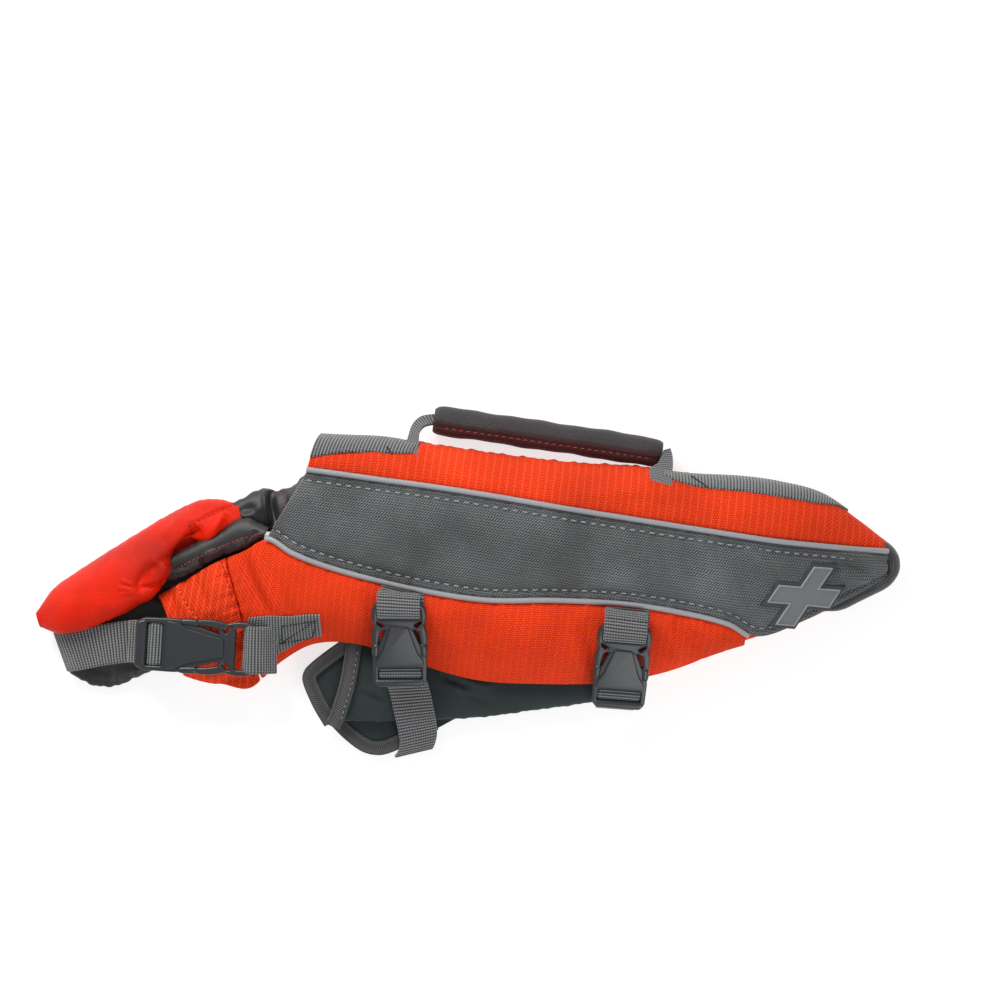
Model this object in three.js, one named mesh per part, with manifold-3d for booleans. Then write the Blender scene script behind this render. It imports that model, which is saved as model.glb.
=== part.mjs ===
// A small dog's life jacket, lying folded on its right side.
// Millimetres, +Z up. The neck is towards -X, the tail towards +X, the spine towards +Y.
import * as THREE from 'three';
import { mergeVertices } from 'three/addons/utils/BufferGeometryUtils.js';
import Module from 'manifold-3d';

const wasm = await Module();
wasm.setup();

// Driving dimensions
const GAP = 0.3;
const FOAM = 8;
const HEM_WALL = 5;
const WEBBING_WIDTH = 25;
const WEBBING = 1.6;
const PIPING_RADIUS = 1.3;
const BUCKLE_THICK = 7.5;
const SLEEVE_RADIUS = 8.6;
const TAPE = 9;
const NARROW_TAPE = 8;
const TAPE_THICK = 2.2;
const PATCH_SPAN = 45;
const PATCH_THICK = 2.4;
const CENTRE_X = 0.688;
const CENTRE_Y = -4.028;
const SHOULDER = 0.8;
const SIDE_CROWN = 3;
const SEAM_ROOM = 0.2;
const PRESS_ROOM = 0.7;
const HEADING_STEP = 0.05;
const EDGE = 0.006;
const TAIL_FOAM = 5;
const NEOPRENE = 3.6;
const LOWER_TAPE_LEVEL = NEOPRENE + 2.6;

// Where each seam lies on the upper side of the folded body, a row for each section.
// upper and lower are the piped seams of the side panel, hem is the belly edge.
const SEAMS = {
  columns: ['x', 'spineY', 'spineZ', 'upperY', 'upperZ', 'lowerY', 'lowerZ', 'hemY', 'hemZ', 'crown'],
  rows: [
    [-180, 70.0, 12, 52.0, 40, -32.0, 14, -66.0, 7, 6],
    [-165, 71.0, 12, 52.3, 41, -20.0, 18, -76.0, 7, 9],
    [-150, 72.0, 12, 52.6, 42, -8.0, 22, -79.5, 7, 12],
    [-135, 72.6, 12, 52.8, 42, 0.5, 26, -80.0, 7, 9],
    [-119, 73.0, 12, 52.9, 42, 10.8, 35, -79.0, 8, 6],
    [-103, 73.4, 12, 52.9, 42, 4.7, 38, -60.5, 12, 8],
    [-85, 75.0, 12, 53.0, 42, 0.2, 38, -47.2, 18, 9],
    [-60, 77.6, 12, 53.0, 42, -3.4, 38, -43.6, 20, 9],
    [-30, 77.4, 12, 53.2, 42, -6.2, 38, -48.9, 21, 9],
    [10, 77.3, 12, 52.6, 42, -6.6, 38, -54.6, 21, 9],
    [50, 78.4, 12, 51.4, 42, -1.2, 38, -51.6, 21, 9],
    [90, 81.6, 12, 50.7, 41, 2.2, 38, -45.0, 21, 9],
    [120, 81.2, 12, 50.2, 40, 2.0, 37, -34.5, 22, 7],
    [150, 83.2, 12, 49.8, 39, -0.9, 33, -18.4, 24, 4],
    [170, 83.2, 12, 49.7, 37, -7.2, 27, -8.8, 26, 1],
    [196, 80.0, 11, 50.6, 32, 5.6, 22, 4.9, 21.5, 0],
    [220, 68.4, 10, 51.6, 25, 21.6, 18, 21.0, 17.5, 0],
    [242, 56.2, 8, 52.4, 17, 36.0, 14, 35.4, 13.5, 0],
    [252, 52.0, 8, 50.0, 14, 42.0, 12, 41.4, 11.5, 0],
  ],
};

// Front and tail ends of each panel, as X at its upper and its lower seam.
const NECK = { spine: -97, upper: -101.5, lower: -119.5 };
const TAIL = { spine: 238, upper: 239, lower: 242 };
const FLANK_FRONT = { upper: -143, lower: -113 };
const FLANK_TAIL = { upper: 160, lower: 152 };
const WING_FRONT = { upper: -180.5, lower: -160.5 };
const SEAM_AT_TAIL = 163;
const TAIL_THIN = { from: 190, to: 240 };

// How many steps each form is drawn with
const STEPS = {
  panel: 28, flank: 26, wing: 10, across: 7, piping: 34, rightSide: 26, layers: 34,
  band: 18, bandFlap: 6, lowerFlap: 14, endTape: 10, flapTape: 14, lowerTape: 18,
  spineFront: 8, spineRear: 14, spineAcross: 5, foot: 9, strapTop: 4, strapAcross: 5,
  frontLower: 14, rearLower: 9, chestRight: 10, chestAcross: 4, chestLeft: 16,
  facing: 14, farWing: 18, chin: 18, neckLining: 14,
};
// How many points half a ring has
const HALF_RING = { band: 6, bandFlap: 3, facing: 5, farWing: 5, chin: 6, neckLining: 5 };
const FLOOR = 0;

const COLOURS = {
  ripstop: 0xf04a22,
  satin: 0xd8330f,
  oxford: 0x505356,
  webbing: 0x5f6163,
  plastic: 0x484a50,
  piping: 0xa5a5a8,
  neoprene: 0x233232,
  binding: 0x505052,
  lining: 0x2c2c2e,
  sleeve: 0x463c3e,
  rubber: 0x77797b,
};

function mix(a, b, t) {
  return a + (b - a) * t;
}

// A smooth curve through one column of a table, read at any place of its first column.
function read(table, name, at) {
  const column = table.columns.indexOf(name);
  const rows = table.rows;
  let i = 0;
  while (i < rows.length - 2 && rows[i + 1][0] < at) i += 1;
  const before = rows[Math.max(i - 1, 0)];
  const start = rows[i];
  const end = rows[i + 1];
  const after = rows[Math.min(i + 2, rows.length - 1)];
  const span = end[0] - start[0];
  const t = (at - start[0]) / span;
  const slopeStart = ((end[column] - before[column]) / (end[0] - before[0])) * span;
  const slopeEnd = ((after[column] - start[column]) / (after[0] - start[0])) * span;
  const t2 = t * t;
  const t3 = t2 * t;
  return (2 * t3 - 3 * t2 + 1) * start[column] + (t3 - 2 * t2 + t) * slopeStart
    + (3 * t2 - 2 * t3) * end[column] + (t3 - t2) * slopeEnd;
}

// A point of the body's upper side. across is 0 at the spine, 1 and 2 at the piped seams, 3 at the hem.
function bodyPoint(x, across) {
  const seam = (name) => read(SEAMS, name, x);
  if (across <= 1) {
    const angle = Math.max(across, 0) * Math.PI / 2;
    const y = mix(seam('upperY'), seam('spineY'), Math.cos(angle) ** SHOULDER);
    const z = mix(seam('spineZ'), seam('upperZ'), Math.sin(angle) ** SHOULDER);
    return new THREE.Vector3(x, y, z);
  }
  if (across <= 2) {
    const t = across - 1;
    const y = mix(seam('upperY'), seam('lowerY'), t);
    const z = mix(seam('upperZ'), seam('lowerZ'), t) + SIDE_CROWN * (1 - (2 * t - 1) ** 4);
    return new THREE.Vector3(x, y, z);
  }
  const t = across - 2;
  const y = mix(seam('lowerY'), seam('hemY'), t);
  const z = mix(seam('lowerZ'), seam('hemZ'), t) + seam('crown') * (1 - (2 * t - 1) ** 2);
  return new THREE.Vector3(x, y, z);
}

// The outward direction of the body's upper side, the same for both panels at a seam.
function bodyNormal(x, across) {
  const step = 0.03;
  const low = Math.max(across - step, 0);
  const high = Math.min(across + step, 3);
  const alongX = bodyPoint(x + 1, across).sub(bodyPoint(x - 1, across));
  const acrossX = bodyPoint(x, high).sub(bodyPoint(x, low));
  return new THREE.Vector3().crossVectors(acrossX, alongX).normalize();
}

function onBody(x, across, lift) {
  return bodyPoint(x, across).addScaledVector(bodyNormal(x, across), lift);
}

// A closed mesh from points and triangles, with its faces turned outwards.
function closedGeometry(points, triangles) {
  let volume = 0;
  for (const [a, b, c] of triangles) {
    volume += points[a].dot(new THREE.Vector3().crossVectors(points[b], points[c]));
  }
  const ordered = volume < 0 ? triangles.map(([a, b, c]) => [a, c, b]) : triangles;
  const geometry = new THREE.BufferGeometry();
  const flat = points.flatMap((p) => [p.x, p.y, p.z]);
  geometry.setAttribute('position', new THREE.Float32BufferAttribute(flat, 3));
  geometry.setIndex(ordered.flat());
  return geometry;
}

// A wall between two grids of points, open nowhere. top and bottom give a point for each step.
function wall(top, bottom, stepsU, stepsV) {
  const points = [];
  for (const face of [top, bottom]) {
    for (let i = 0; i <= stepsU; i += 1) {
      for (let j = 0; j <= stepsV; j += 1) points.push(face(i / stepsU, j / stepsV));
    }
  }
  const layer = (stepsU + 1) * (stepsV + 1);
  const at = (face, i, j) => face * layer + i * (stepsV + 1) + j;
  const triangles = [];
  const quad = (a, b, c, d) => triangles.push([a, b, c], [a, c, d]);
  for (let i = 0; i < stepsU; i += 1) {
    for (let j = 0; j < stepsV; j += 1) {
      quad(at(0, i, j), at(0, i + 1, j), at(0, i + 1, j + 1), at(0, i, j + 1));
      quad(at(1, i, j), at(1, i, j + 1), at(1, i + 1, j + 1), at(1, i + 1, j));
    }
  }
  for (let i = 0; i < stepsU; i += 1) {
    quad(at(0, i, 0), at(1, i, 0), at(1, i + 1, 0), at(0, i + 1, 0));
    quad(at(0, i, stepsV), at(0, i + 1, stepsV), at(1, i + 1, stepsV), at(1, i, stepsV));
  }
  for (let j = 0; j < stepsV; j += 1) {
    quad(at(0, 0, j), at(0, 0, j + 1), at(1, 0, j + 1), at(1, 0, j));
    quad(at(0, stepsU, j), at(1, stepsU, j), at(1, stepsU, j + 1), at(0, stepsU, j + 1));
  }
  return closedGeometry(points, triangles);
}

// A solid through closed rings of points, capped at both ends.
function loft(rings) {
  const count = rings[0].length;
  const points = rings.flat();
  const triangles = [];
  for (let i = 0; i < rings.length - 1; i += 1) {
    for (let k = 0; k < count; k += 1) {
      const a = i * count + k;
      const b = i * count + (k + 1) % count;
      triangles.push([a, b, b + count], [a, b + count, a + count]);
    }
  }
  for (const last of [false, true]) {
    const ring = last ? rings[rings.length - 1] : rings[0];
    const start = last ? (rings.length - 1) * count : 0;
    const middle = ring.reduce((sum, p) => sum.add(p), new THREE.Vector3()).divideScalar(count);
    points.push(middle);
    const hub = points.length - 1;
    for (let k = 0; k < count; k += 1) {
      const a = start + k;
      const b = start + (k + 1) % count;
      triangles.push(last ? [a, b, hub] : [b, a, hub]);
    }
  }
  return closedGeometry(points, triangles);
}

// A stuffed piece between two edges, a row for each section. Edge a and edge b meet the top and the
// underside, crown is the rise above them, depth the drop below, and floor the lowest that it reaches.
function pad(rows, stations, sides, floor) {
  const columns = ['at', 'ax', 'ay', 'az', 'bx', 'by', 'bz', 'crown', 'depth'];
  const table = { columns, rows };
  const first = rows[0][0];
  const last = rows[rows.length - 1][0];
  const rings = [];
  for (let i = 0; i <= stations; i += 1) {
    const at = mix(first, last, i / stations);
    const value = (name) => read(table, name, at);
    const edgeA = new THREE.Vector3(value('ax'), value('ay'), value('az'));
    const edgeB = new THREE.Vector3(value('bx'), value('by'), value('bz'));
    const ring = [];
    for (let k = 0; k < 2 * sides; k += 1) {
      const t = (1 - Math.cos(Math.PI * k / sides)) / 2;
      const bulge = Math.sin(Math.PI * k / sides);
      const point = edgeA.clone().lerp(edgeB, t);
      point.z += bulge > 0 ? value('crown') * bulge : value('depth') * bulge;
      point.z = Math.max(point.z, floor);
      ring.push(point);
    }
    rings.push(ring);
  }
  return loft(rings);
}

// A strip of even thickness between two edges, a row for each section. Its face is edge a to edge b.
function strip(rows, stations, thickness) {
  const table = { columns: ['at', 'ax', 'ay', 'az', 'bx', 'by', 'bz'], rows };
  const first = rows[0][0];
  const last = rows[rows.length - 1][0];
  const edge = (side, at) => new THREE.Vector3(
    read(table, `${side}x`, at),
    read(table, `${side}y`, at),
    read(table, `${side}z`, at),
  );
  const face = (drop) => (u, v) => {
    const at = mix(first, last, u);
    const ahead = edge('a', at + HEADING_STEP).add(edge('b', at + HEADING_STEP));
    const heading = ahead.sub(edge('a', at - HEADING_STEP)).sub(edge('b', at - HEADING_STEP));
    const breadth = edge('b', at).sub(edge('a', at));
    const normal = new THREE.Vector3().crossVectors(breadth, heading).normalize();
    return edge('a', at).lerp(edge('b', at), v).addScaledVector(normal, -drop);
  };
  return wall(face(0), face(thickness), stations, 2);
}

// Binding tape that follows an edge in plan, a row for each point of its middle.
function tape(rows, stations, width, thickness) {
  const table = { columns: ['at', 'x', 'y', 'z'], rows };
  const first = rows[0][0];
  const last = rows[rows.length - 1][0];
  const place = (at) => new THREE.Vector3(read(table, 'x', at), read(table, 'y', at), read(table, 'z', at));
  const face = (drop) => (u, v) => {
    const at = mix(first, last, u);
    const heading = place(at + HEADING_STEP).sub(place(at - HEADING_STEP)).setZ(0).normalize();
    const across = new THREE.Vector3(-heading.y, heading.x, 0);
    const point = place(at).addScaledVector(across, (v - 0.5) * width);
    point.z -= drop;
    return point;
  };
  return wall(face(0), face(thickness), stations, 2);
}

// A cord or tube through points, with its half breadth and half height.
function cord(points, breadth, height, sides) {
  const up = new THREE.Vector3(0, 0, 1);
  const rings = points.map((point, i) => {
    const next = points[Math.min(i + 1, points.length - 1)];
    const heading = next.clone().sub(points[Math.max(i - 1, 0)]).normalize();
    const side = new THREE.Vector3().crossVectors(up, heading).normalize();
    const rise = new THREE.Vector3().crossVectors(heading, side);
    return Array.from({ length: sides }, (_, k) => {
      const angle = 2 * Math.PI * (k + 0.5) / sides;
      const offset = side.clone().multiplyScalar(breadth * Math.cos(angle));
      return point.clone().add(offset).addScaledVector(rise, height * Math.sin(angle));
    });
  });
  return loft(rings);
}

// A piece that lies on the body between two lines along it, with its wall below its face.
function bodyPanel(from, to, start, end, stepsX, stepsAcross, lift, thickness) {
  const face = (drop) => (u, v) => {
    const across = mix(from, to, v);
    const x = mix(mix(start.upper, start.lower, v), mix(end.upper, end.lower, v), u);
    return onBody(x, across, lift - drop * thickness(x, v));
  };
  return wall(face(0), face(1), stepsX, stepsAcross);
}

function merged(geometry) {
  const plain = geometry.clone();
  plain.deleteAttribute('normal');
  plain.deleteAttribute('uv');
  return mergeVertices(plain, 1e-3);
}

// The same solid with its surface moved out by a small distance.
function grown(geometry, distance) {
  const solid = merged(geometry);
  solid.computeVertexNormals();
  const place = solid.attributes.position;
  const normal = solid.attributes.normal;
  for (let i = 0; i < place.count; i += 1) {
    place.setXYZ(
      i,
      place.getX(i) + normal.getX(i) * distance,
      place.getY(i) + normal.getY(i) * distance,
      place.getZ(i) + normal.getZ(i) * distance,
    );
  }
  solid.deleteAttribute('normal');
  return solid;
}

function toManifold(geometry) {
  const solid = merged(geometry);
  const mesh = new wasm.Mesh({
    numProp: 3,
    vertProperties: Float32Array.from(solid.attributes.position.array),
    triVerts: Uint32Array.from(solid.index.array),
  });
  return new wasm.Manifold(mesh);
}

function fromManifold(manifold) {
  const mesh = manifold.getMesh();
  const geometry = new THREE.BufferGeometry();
  geometry.setAttribute('position', new THREE.BufferAttribute(Float32Array.from(mesh.vertProperties), 3));
  geometry.setIndex(Array.from(mesh.triVerts));
  return geometry;
}

// A soft solid with room cut for each neighbour that presses into it. The largest piece is kept.
function clearOf(geometry, ...neighbours) {
  let solid = toManifold(geometry);
  for (const neighbour of neighbours) solid = solid.subtract(toManifold(grown(neighbour, PRESS_ROOM)));
  const pieces = solid.decompose();
  pieces.sort((a, b) => b.volume() - a.volume());
  return fromManifold(pieces[0]);
}

// A side release buckle, flat about its middle plane. Its male end is at -X, its female end at +X.
const BUCKLE = {
  reach: 25.5,
  female: [[-11.3, 6.5], [6.2, 15.2], [9.5, 15.5], [23.5, 15.0], [25.5, 13.2]],
  femaleWindow: { from: 14.2, to: 21.2, half: 12.6 },
  male: [[-25.5, 12.5], [-23, 14.6], [-19, 15.8], [-13, 15.7], [-5, 15.6], [0.6, 15.4], [0.6, 13.2],
    [-6, 12.0], [-12, 10.2], [-13.6, 8.2]],
  maleWindow: { from: -21.5, to: -16.5, half: 12.6 },
};

function buckleHalf(outline, window, stretch) {
  const shape = new THREE.Shape();
  const loop = [...outline.map(([x, y]) => [x, -y]), ...[...outline].reverse()];
  loop.forEach(([x, y], i) => (i ? shape.lineTo(x * stretch, y) : shape.moveTo(x * stretch, y)));
  const hole = new THREE.Path();
  const { from, to, half } = window;
  [[from, -half], [from, half], [to, half], [to, -half]].forEach(([x, y], i) => (
    i ? hole.lineTo(x * stretch, y) : hole.moveTo(x * stretch, y)));
  shape.holes.push(hole);
  const geometry = new THREE.ExtrudeGeometry(shape, { depth: BUCKLE_THICK, bevelEnabled: false });
  return geometry.translate(0, 0, -BUCKLE_THICK / 2);
}

// Both halves of a fastened buckle between two points in space.
function buckle(maleEnd, femaleEnd) {
  const along = femaleEnd.clone().sub(maleEnd);
  const stretch = along.length() / 2 / BUCKLE.reach;
  along.normalize();
  const side = new THREE.Vector3(0, 0, 1).cross(along).normalize();
  const up = new THREE.Vector3().crossVectors(along, side);
  const turn = new THREE.Matrix4().makeBasis(along, side, up);
  turn.setPosition(maleEnd.clone().add(femaleEnd).multiplyScalar(0.5));
  return ['male', 'female'].map((half) => (
    buckleHalf(BUCKLE[half], BUCKLE[`${half}Window`], stretch).applyMatrix4(turn)));
}

// A plate with the outline of a plus, made of square cells, with its points placed by pointAt.
function plusPlate(cells, arm, pointAt) {
  const inside = (i, j) => {
    const middleRow = j >= arm && j < cells - arm;
    const middleColumn = i >= arm && i < cells - arm;
    return i >= 0 && j >= 0 && i < cells && j < cells && (middleRow || middleColumn);
  };
  const points = [];
  const row = cells + 1;
  for (const face of [0, 1]) {
    for (let i = 0; i <= cells; i += 1) {
      for (let j = 0; j <= cells; j += 1) points.push(pointAt(i / cells - 0.5, j / cells - 0.5, face));
    }
  }
  const at = (face, i, j) => face * row * row + i * row + j;
  const triangles = [];
  const quad = (a, b, c, d) => triangles.push([a, b, c], [a, c, d]);
  for (let i = 0; i < cells; i += 1) {
    for (let j = 0; j < cells; j += 1) {
      if (!inside(i, j)) continue;
      quad(at(0, i, j), at(0, i + 1, j), at(0, i + 1, j + 1), at(0, i, j + 1));
      quad(at(1, i, j), at(1, i, j + 1), at(1, i + 1, j + 1), at(1, i + 1, j));
      if (!inside(i, j - 1)) quad(at(0, i, j), at(1, i, j), at(1, i + 1, j), at(0, i + 1, j));
      if (!inside(i, j + 1)) quad(at(0, i, j + 1), at(0, i + 1, j + 1), at(1, i + 1, j + 1), at(1, i, j + 1));
      if (!inside(i - 1, j)) quad(at(0, i, j), at(0, i, j + 1), at(1, i, j + 1), at(1, i, j));
      if (!inside(i + 1, j)) quad(at(0, i + 1, j), at(1, i + 1, j), at(1, i + 1, j + 1), at(0, i + 1, j + 1));
    }
  }
  return closedGeometry(points, triangles);
}

const group = new THREE.Group();
group.position.set(-CENTRE_X, -CENTRE_Y, 0);

function add(name, geometry, colour, roughness = 0.8) {
  const material = new THREE.MeshStandardMaterial({ color: COLOURS[colour], roughness, metalness: 0 });
  const mesh = new THREE.Mesh(geometry, material);
  mesh.name = name;
  group.add(mesh);
  return geometry;
}

// The body's upper half: three foam panels and the wing that runs on round the chest.
const foam = (x) => mix(FOAM, TAIL_FOAM, THREE.MathUtils.smoothstep(x, TAIL_THIN.from, TAIL_THIN.to));
const hemFoam = (x, v) => mix(foam(x), HEM_WALL, v ** 3);
const evenWall = (thickness) => () => thickness;
const backEnds = [{ upper: NECK.spine, lower: NECK.upper }, { upper: TAIL.spine, lower: TAIL.upper }];
const sideEnds = [{ upper: NECK.upper, lower: NECK.lower }, { upper: TAIL.upper, lower: TAIL.lower }];
const WING_GAP = 0.7;
const wingEnds = [WING_FRONT, { upper: FLANK_FRONT.upper - WING_GAP, lower: FLANK_FRONT.lower - WING_GAP }];
const backWall = bodyPanel(0, 1 - EDGE, ...backEnds, STEPS.panel, STEPS.across, 0, foam);
const back = add('back_panel', backWall, 'ripstop');
const sideWall = bodyPanel(1 + EDGE, 2 - EDGE, ...sideEnds, STEPS.panel, STEPS.across, 0, foam);
const side = add('side_panel', sideWall, 'oxford');
const flankWall = bodyPanel(2 + EDGE, 3, FLANK_FRONT, FLANK_TAIL, STEPS.flank, STEPS.across, 0, hemFoam);
const flank = add('flank_panel', flankWall, 'ripstop');
const wingWall = bodyPanel(2 + EDGE, 3, ...wingEnds, STEPS.wing, STEPS.across, 0, evenWall(HEM_WALL));
const wing = add('chest_wing', wingWall, 'ripstop');

// Reflective piping in both seams of the side panel
const PIPING_LIFT = PIPING_RADIUS + GAP + SEAM_ROOM;
function piping(across, from, to) {
  const steps = STEPS.piping;
  const pointAt = (i) => onBody(mix(from, to, i / steps), across, PIPING_LIFT);
  return cord(Array.from({ length: steps + 1 }, (_, i) => pointAt(i)), PIPING_RADIUS, PIPING_RADIUS, 6);
}
add('upper_piping', piping(1, NECK.upper, TAIL.upper - 1), 'piping', 0.5);
add('lower_piping', piping(2, NECK.lower, SEAM_AT_TAIL), 'piping', 0.5);

// The body's right half, flat on the floor, and the folded layers between the halves
const UNDER = {
  wall: 9.2, nearSpine: 0.6, bulge: 1.1, floorIn: 7, shelf: 12, lipIn: 8.4, lipRoom: 0.8, hemIn: 1,
};
// Its height follows the hem's from here on towards the tail, as a share of it.
const UNDER_HEM = { from: -60, share: 0.45 };
// How far in each edge turns, and at what share of its height
const SPINE_TURN = { middle: 0.6, lowIn: 1, low: 0.22 };
const HEM_TURN = { lowIn: 0.8, low: 0.25, middle: 0.6, highIn: 1.2, high: 0.85 };
const UNDER_SLANT = { neckSpine: 4, tailSpine: -1, neckHem: -3, tailHem: 2 };
const UNDER_ENDS = { neck: -101.5, tail: 239 };
// Each section is a row of Y and Z, from the spine down to the floor, along it, and back over the hem.
function rightSection(x, ends) {
  const spine = read(SEAMS, 'spineY', x);
  const hem = read(SEAMS, 'hemY', x) + UNDER.hemIn;
  const middle = mix(spine, hem, 0.5);
  const room = (spine - hem) / 4;
  const foot = Math.min(UNDER.floorIn, room);
  const shelf = Math.min(UNDER.shelf, room);
  const height = Math.min(UNDER.wall, UNDER_HEM.share * read(SEAMS, 'hemZ', Math.max(x, UNDER_HEM.from)));
  const lip = read(SEAMS, 'spineZ', x) - UNDER.nearSpine;
  const spineEdge = [
    [spine, lip],
    [spine + UNDER.bulge, lip * SPINE_TURN.middle],
    [spine - SPINE_TURN.lowIn, lip * SPINE_TURN.low],
  ];
  const floorLine = [[spine - foot, 0], [middle, 0], [hem + foot, 0]];
  const hemEdge = [
    [hem + HEM_TURN.lowIn, height * HEM_TURN.low],
    [hem, height * HEM_TURN.middle],
    [hem + HEM_TURN.highIn, height * HEM_TURN.high],
  ];
  const inside = [[hem + shelf, height], [middle, height], [spine - shelf, height]];
  const lipEdge = [[spine - Math.min(UNDER.lipIn, room * UNDER.lipRoom), lip]];
  return [...spineEdge, ...floorLine, ...hemEdge, ...inside, ...lipEdge].map(([y, z]) => {
    const t = (spine - y) / (spine - hem);
    return new THREE.Vector3(x + mix(ends.spine, ends.hem, t), y, z);
  });
}
function rightSide() {
  const steps = STEPS.rightSide;
  const { neckSpine, tailSpine, neckHem, tailHem } = UNDER_SLANT;
  const rings = [];
  for (let i = 0; i <= steps; i += 1) {
    const u = i / steps;
    const x = mix(UNDER_ENDS.neck, UNDER_ENDS.tail, u);
    rings.push(rightSection(x, { spine: mix(neckSpine, tailSpine, u), hem: mix(neckHem, tailHem, u) }));
  }
  return loft(rings);
}
const right = add('right_side', rightSide(), 'ripstop');

const LAYERS = { from: -84, to: 190, spineBase: 12.4, tops: [0.42, 0.7, 1, 1.33, 1.66, 2, 2.3, 2.55] };
const LAYER_ROOM = { above: 0.8, atTail: 2.6, below: 0.6 };
// The layers stop at the belly band, reach the hem behind it, and draw in under the side at the tail.
const BAND_END = { from: 90, to: 104, beside: 2.8, behind: 2.93 };
const TAIL_END = { roomFrom: 120, from: 138, to: 160, reach: 1.9 };
function layersReach(x) {
  const { smoothstep } = THREE.MathUtils;
  const hem = mix(BAND_END.beside, BAND_END.behind, smoothstep(x, BAND_END.from, BAND_END.to));
  return mix(hem, TAIL_END.reach, smoothstep(x, TAIL_END.from, TAIL_END.to));
}
function layersBetween() {
  const steps = STEPS.layers;
  const rings = [];
  for (let i = 0; i <= steps; i += 1) {
    const x = mix(LAYERS.from, LAYERS.to, i / steps);
    const tail = THREE.MathUtils.smoothstep(x, TAIL_END.roomFrom, TAIL_END.from);
    const room = mix(LAYER_ROOM.above, LAYER_ROOM.atTail, tail);
    const reach = layersReach(x);
    const places = [...LAYERS.tops.map((across) => across * Math.min(1, reach / BAND_END.beside)), reach];
    const top = places.map((across) => onBody(x, across, -foam(x) - room));
    const base = (k) => (k === 0 ? LAYERS.spineBase : UNDER.wall + LAYER_ROOM.below);
    const bottom = top.map((point, k) => new THREE.Vector3(point.x, point.y, base(k))).reverse();
    rings.push([...top, ...bottom]);
  }
  return loft(rings);
}

// Neoprene belly band, folded under the hem, with its bound end turned back. The rows of a pad are
// at, edge a, edge b, crown and depth, and those of a strip or a tape are its edges or its middle.
const bandRows = [
  [0, -66, -35, 10, -68, -90.5, 10, 5, 6.05],
  [1, -32, -40, 10, -32.4, -86, 10, 5, 6.05],
  [2, 16, -45, 10, 16.5, -76.8, 10, 5, 6.05],
  [3, 50, -42, 10, 50.7, -67.2, 10, 5, 6],
  [4, 84, -36, 10, 84.8, -57.7, 9, 5, 6],
  [5, 91, -36, 10, 91.6, -54.6, 9, 2, 3],
];
const flapRows = [
  [0, -68.9, -48, 11, -70.5, -89.6, 11, 2, 2],
  [1, -77, -53.5, 11, -72.5, -89.2, 11, 2, 2],
  [2, -84.5, -61.5, 11, -76, -87, 11, 2, 2],
  [3, -88.6, -70.5, 11, -82.5, -80.5, 11, 1.5, 1.5],
];
const lowerFlapRows = [
  [0, -68, -84, 4.9, -69.4, -93.8, NEOPRENE],
  [1, -61, -82, 4.9, -61.2, -100.7, NEOPRENE],
  [2, -52, -80, 4.9, -52.7, -106, NEOPRENE],
  [3, -43, -79, 4.9, -43, -108, NEOPRENE],
  [4, -33, -78, 4.9, -33.5, -106, NEOPRENE],
  [5, -20, -76, 4.8, -20, -97, NEOPRENE],
  [6, -7, -74, 4.7, -7.6, -87.8, NEOPRENE],
  [7, 8, -70, 4.5, 7, -77, NEOPRENE],
];
const endTape = tape([
  [0, -62.4, -47, 17.4],
  [1, -62.8, -66, 18],
  [2, -66.2, -88.5, 15.2],
], STEPS.endTape, TAPE, TAPE_THICK);
const flapTape = tape([
  [0, -70.5, -48, 15.6],
  [1, -79, -55.5, 15.6],
  [2, -86, -64.5, 15.6],
  [3, -84.5, -74.5, 15.6],
  [4, -75, -86.5, 15.6],
], STEPS.flapTape, NARROW_TAPE, TAPE_THICK);
const lowerTape = tape([
  [0, -66.5, -91.8, LOWER_TAPE_LEVEL],
  [1, -58.5, -97.8, LOWER_TAPE_LEVEL],
  [2, -49.5, -102.8, LOWER_TAPE_LEVEL],
  [3, -42, -104, LOWER_TAPE_LEVEL],
  [4, -34.5, -101.8, LOWER_TAPE_LEVEL],
  [5, -20, -92.4, LOWER_TAPE_LEVEL],
  [6, -9, -84.6, LOWER_TAPE_LEVEL],
], STEPS.lowerTape, NARROW_TAPE, TAPE_THICK);
const band = clearOf(pad(bandRows, STEPS.band, HALF_RING.band, FLOOR), flank, right, endTape);
add('belly_band', band, 'neoprene', 0.9);
const flapPad = pad(flapRows, STEPS.bandFlap, HALF_RING.bandFlap, FLOOR);
add('band_end_flap', clearOf(flapPad, flapTape, endTape, band), 'neoprene', 0.9);
const lowerFlap = strip(lowerFlapRows, STEPS.lowerFlap, NEOPRENE);
add('band_lower_layer', clearOf(lowerFlap, lowerTape), 'neoprene', 0.9);
add('band_end_binding', endTape, 'binding');
add('band_flap_binding', clearOf(flapTape, endTape), 'binding');
add('band_lower_binding', clearOf(lowerTape, band), 'binding');
const layers = add('folded_layers', layersBetween(), 'lining');

// Binding round the tail
const tailPath = [
  [212, 12.6, 10.5], [222, 20, 10.5], [232, 26.6, 10.5], [241, 32.6, 9.5], [246.5, 38, 9],
  [248.4, 43.5, 9], [247.6, 49.5, 9], [243.5, 54.5, 9], [238.5, 58.6, 10],
].map(([x, y, z]) => new THREE.Vector3(x, y, z));
const TAIL_TAPE = { breadth: 2.8, height: 7.4, sides: 8 };
const tailTape = cord(tailPath, TAIL_TAPE.breadth, TAIL_TAPE.height, TAIL_TAPE.sides);
add('tail_binding', clearOf(tailTape, side, right, back), 'binding');

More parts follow.
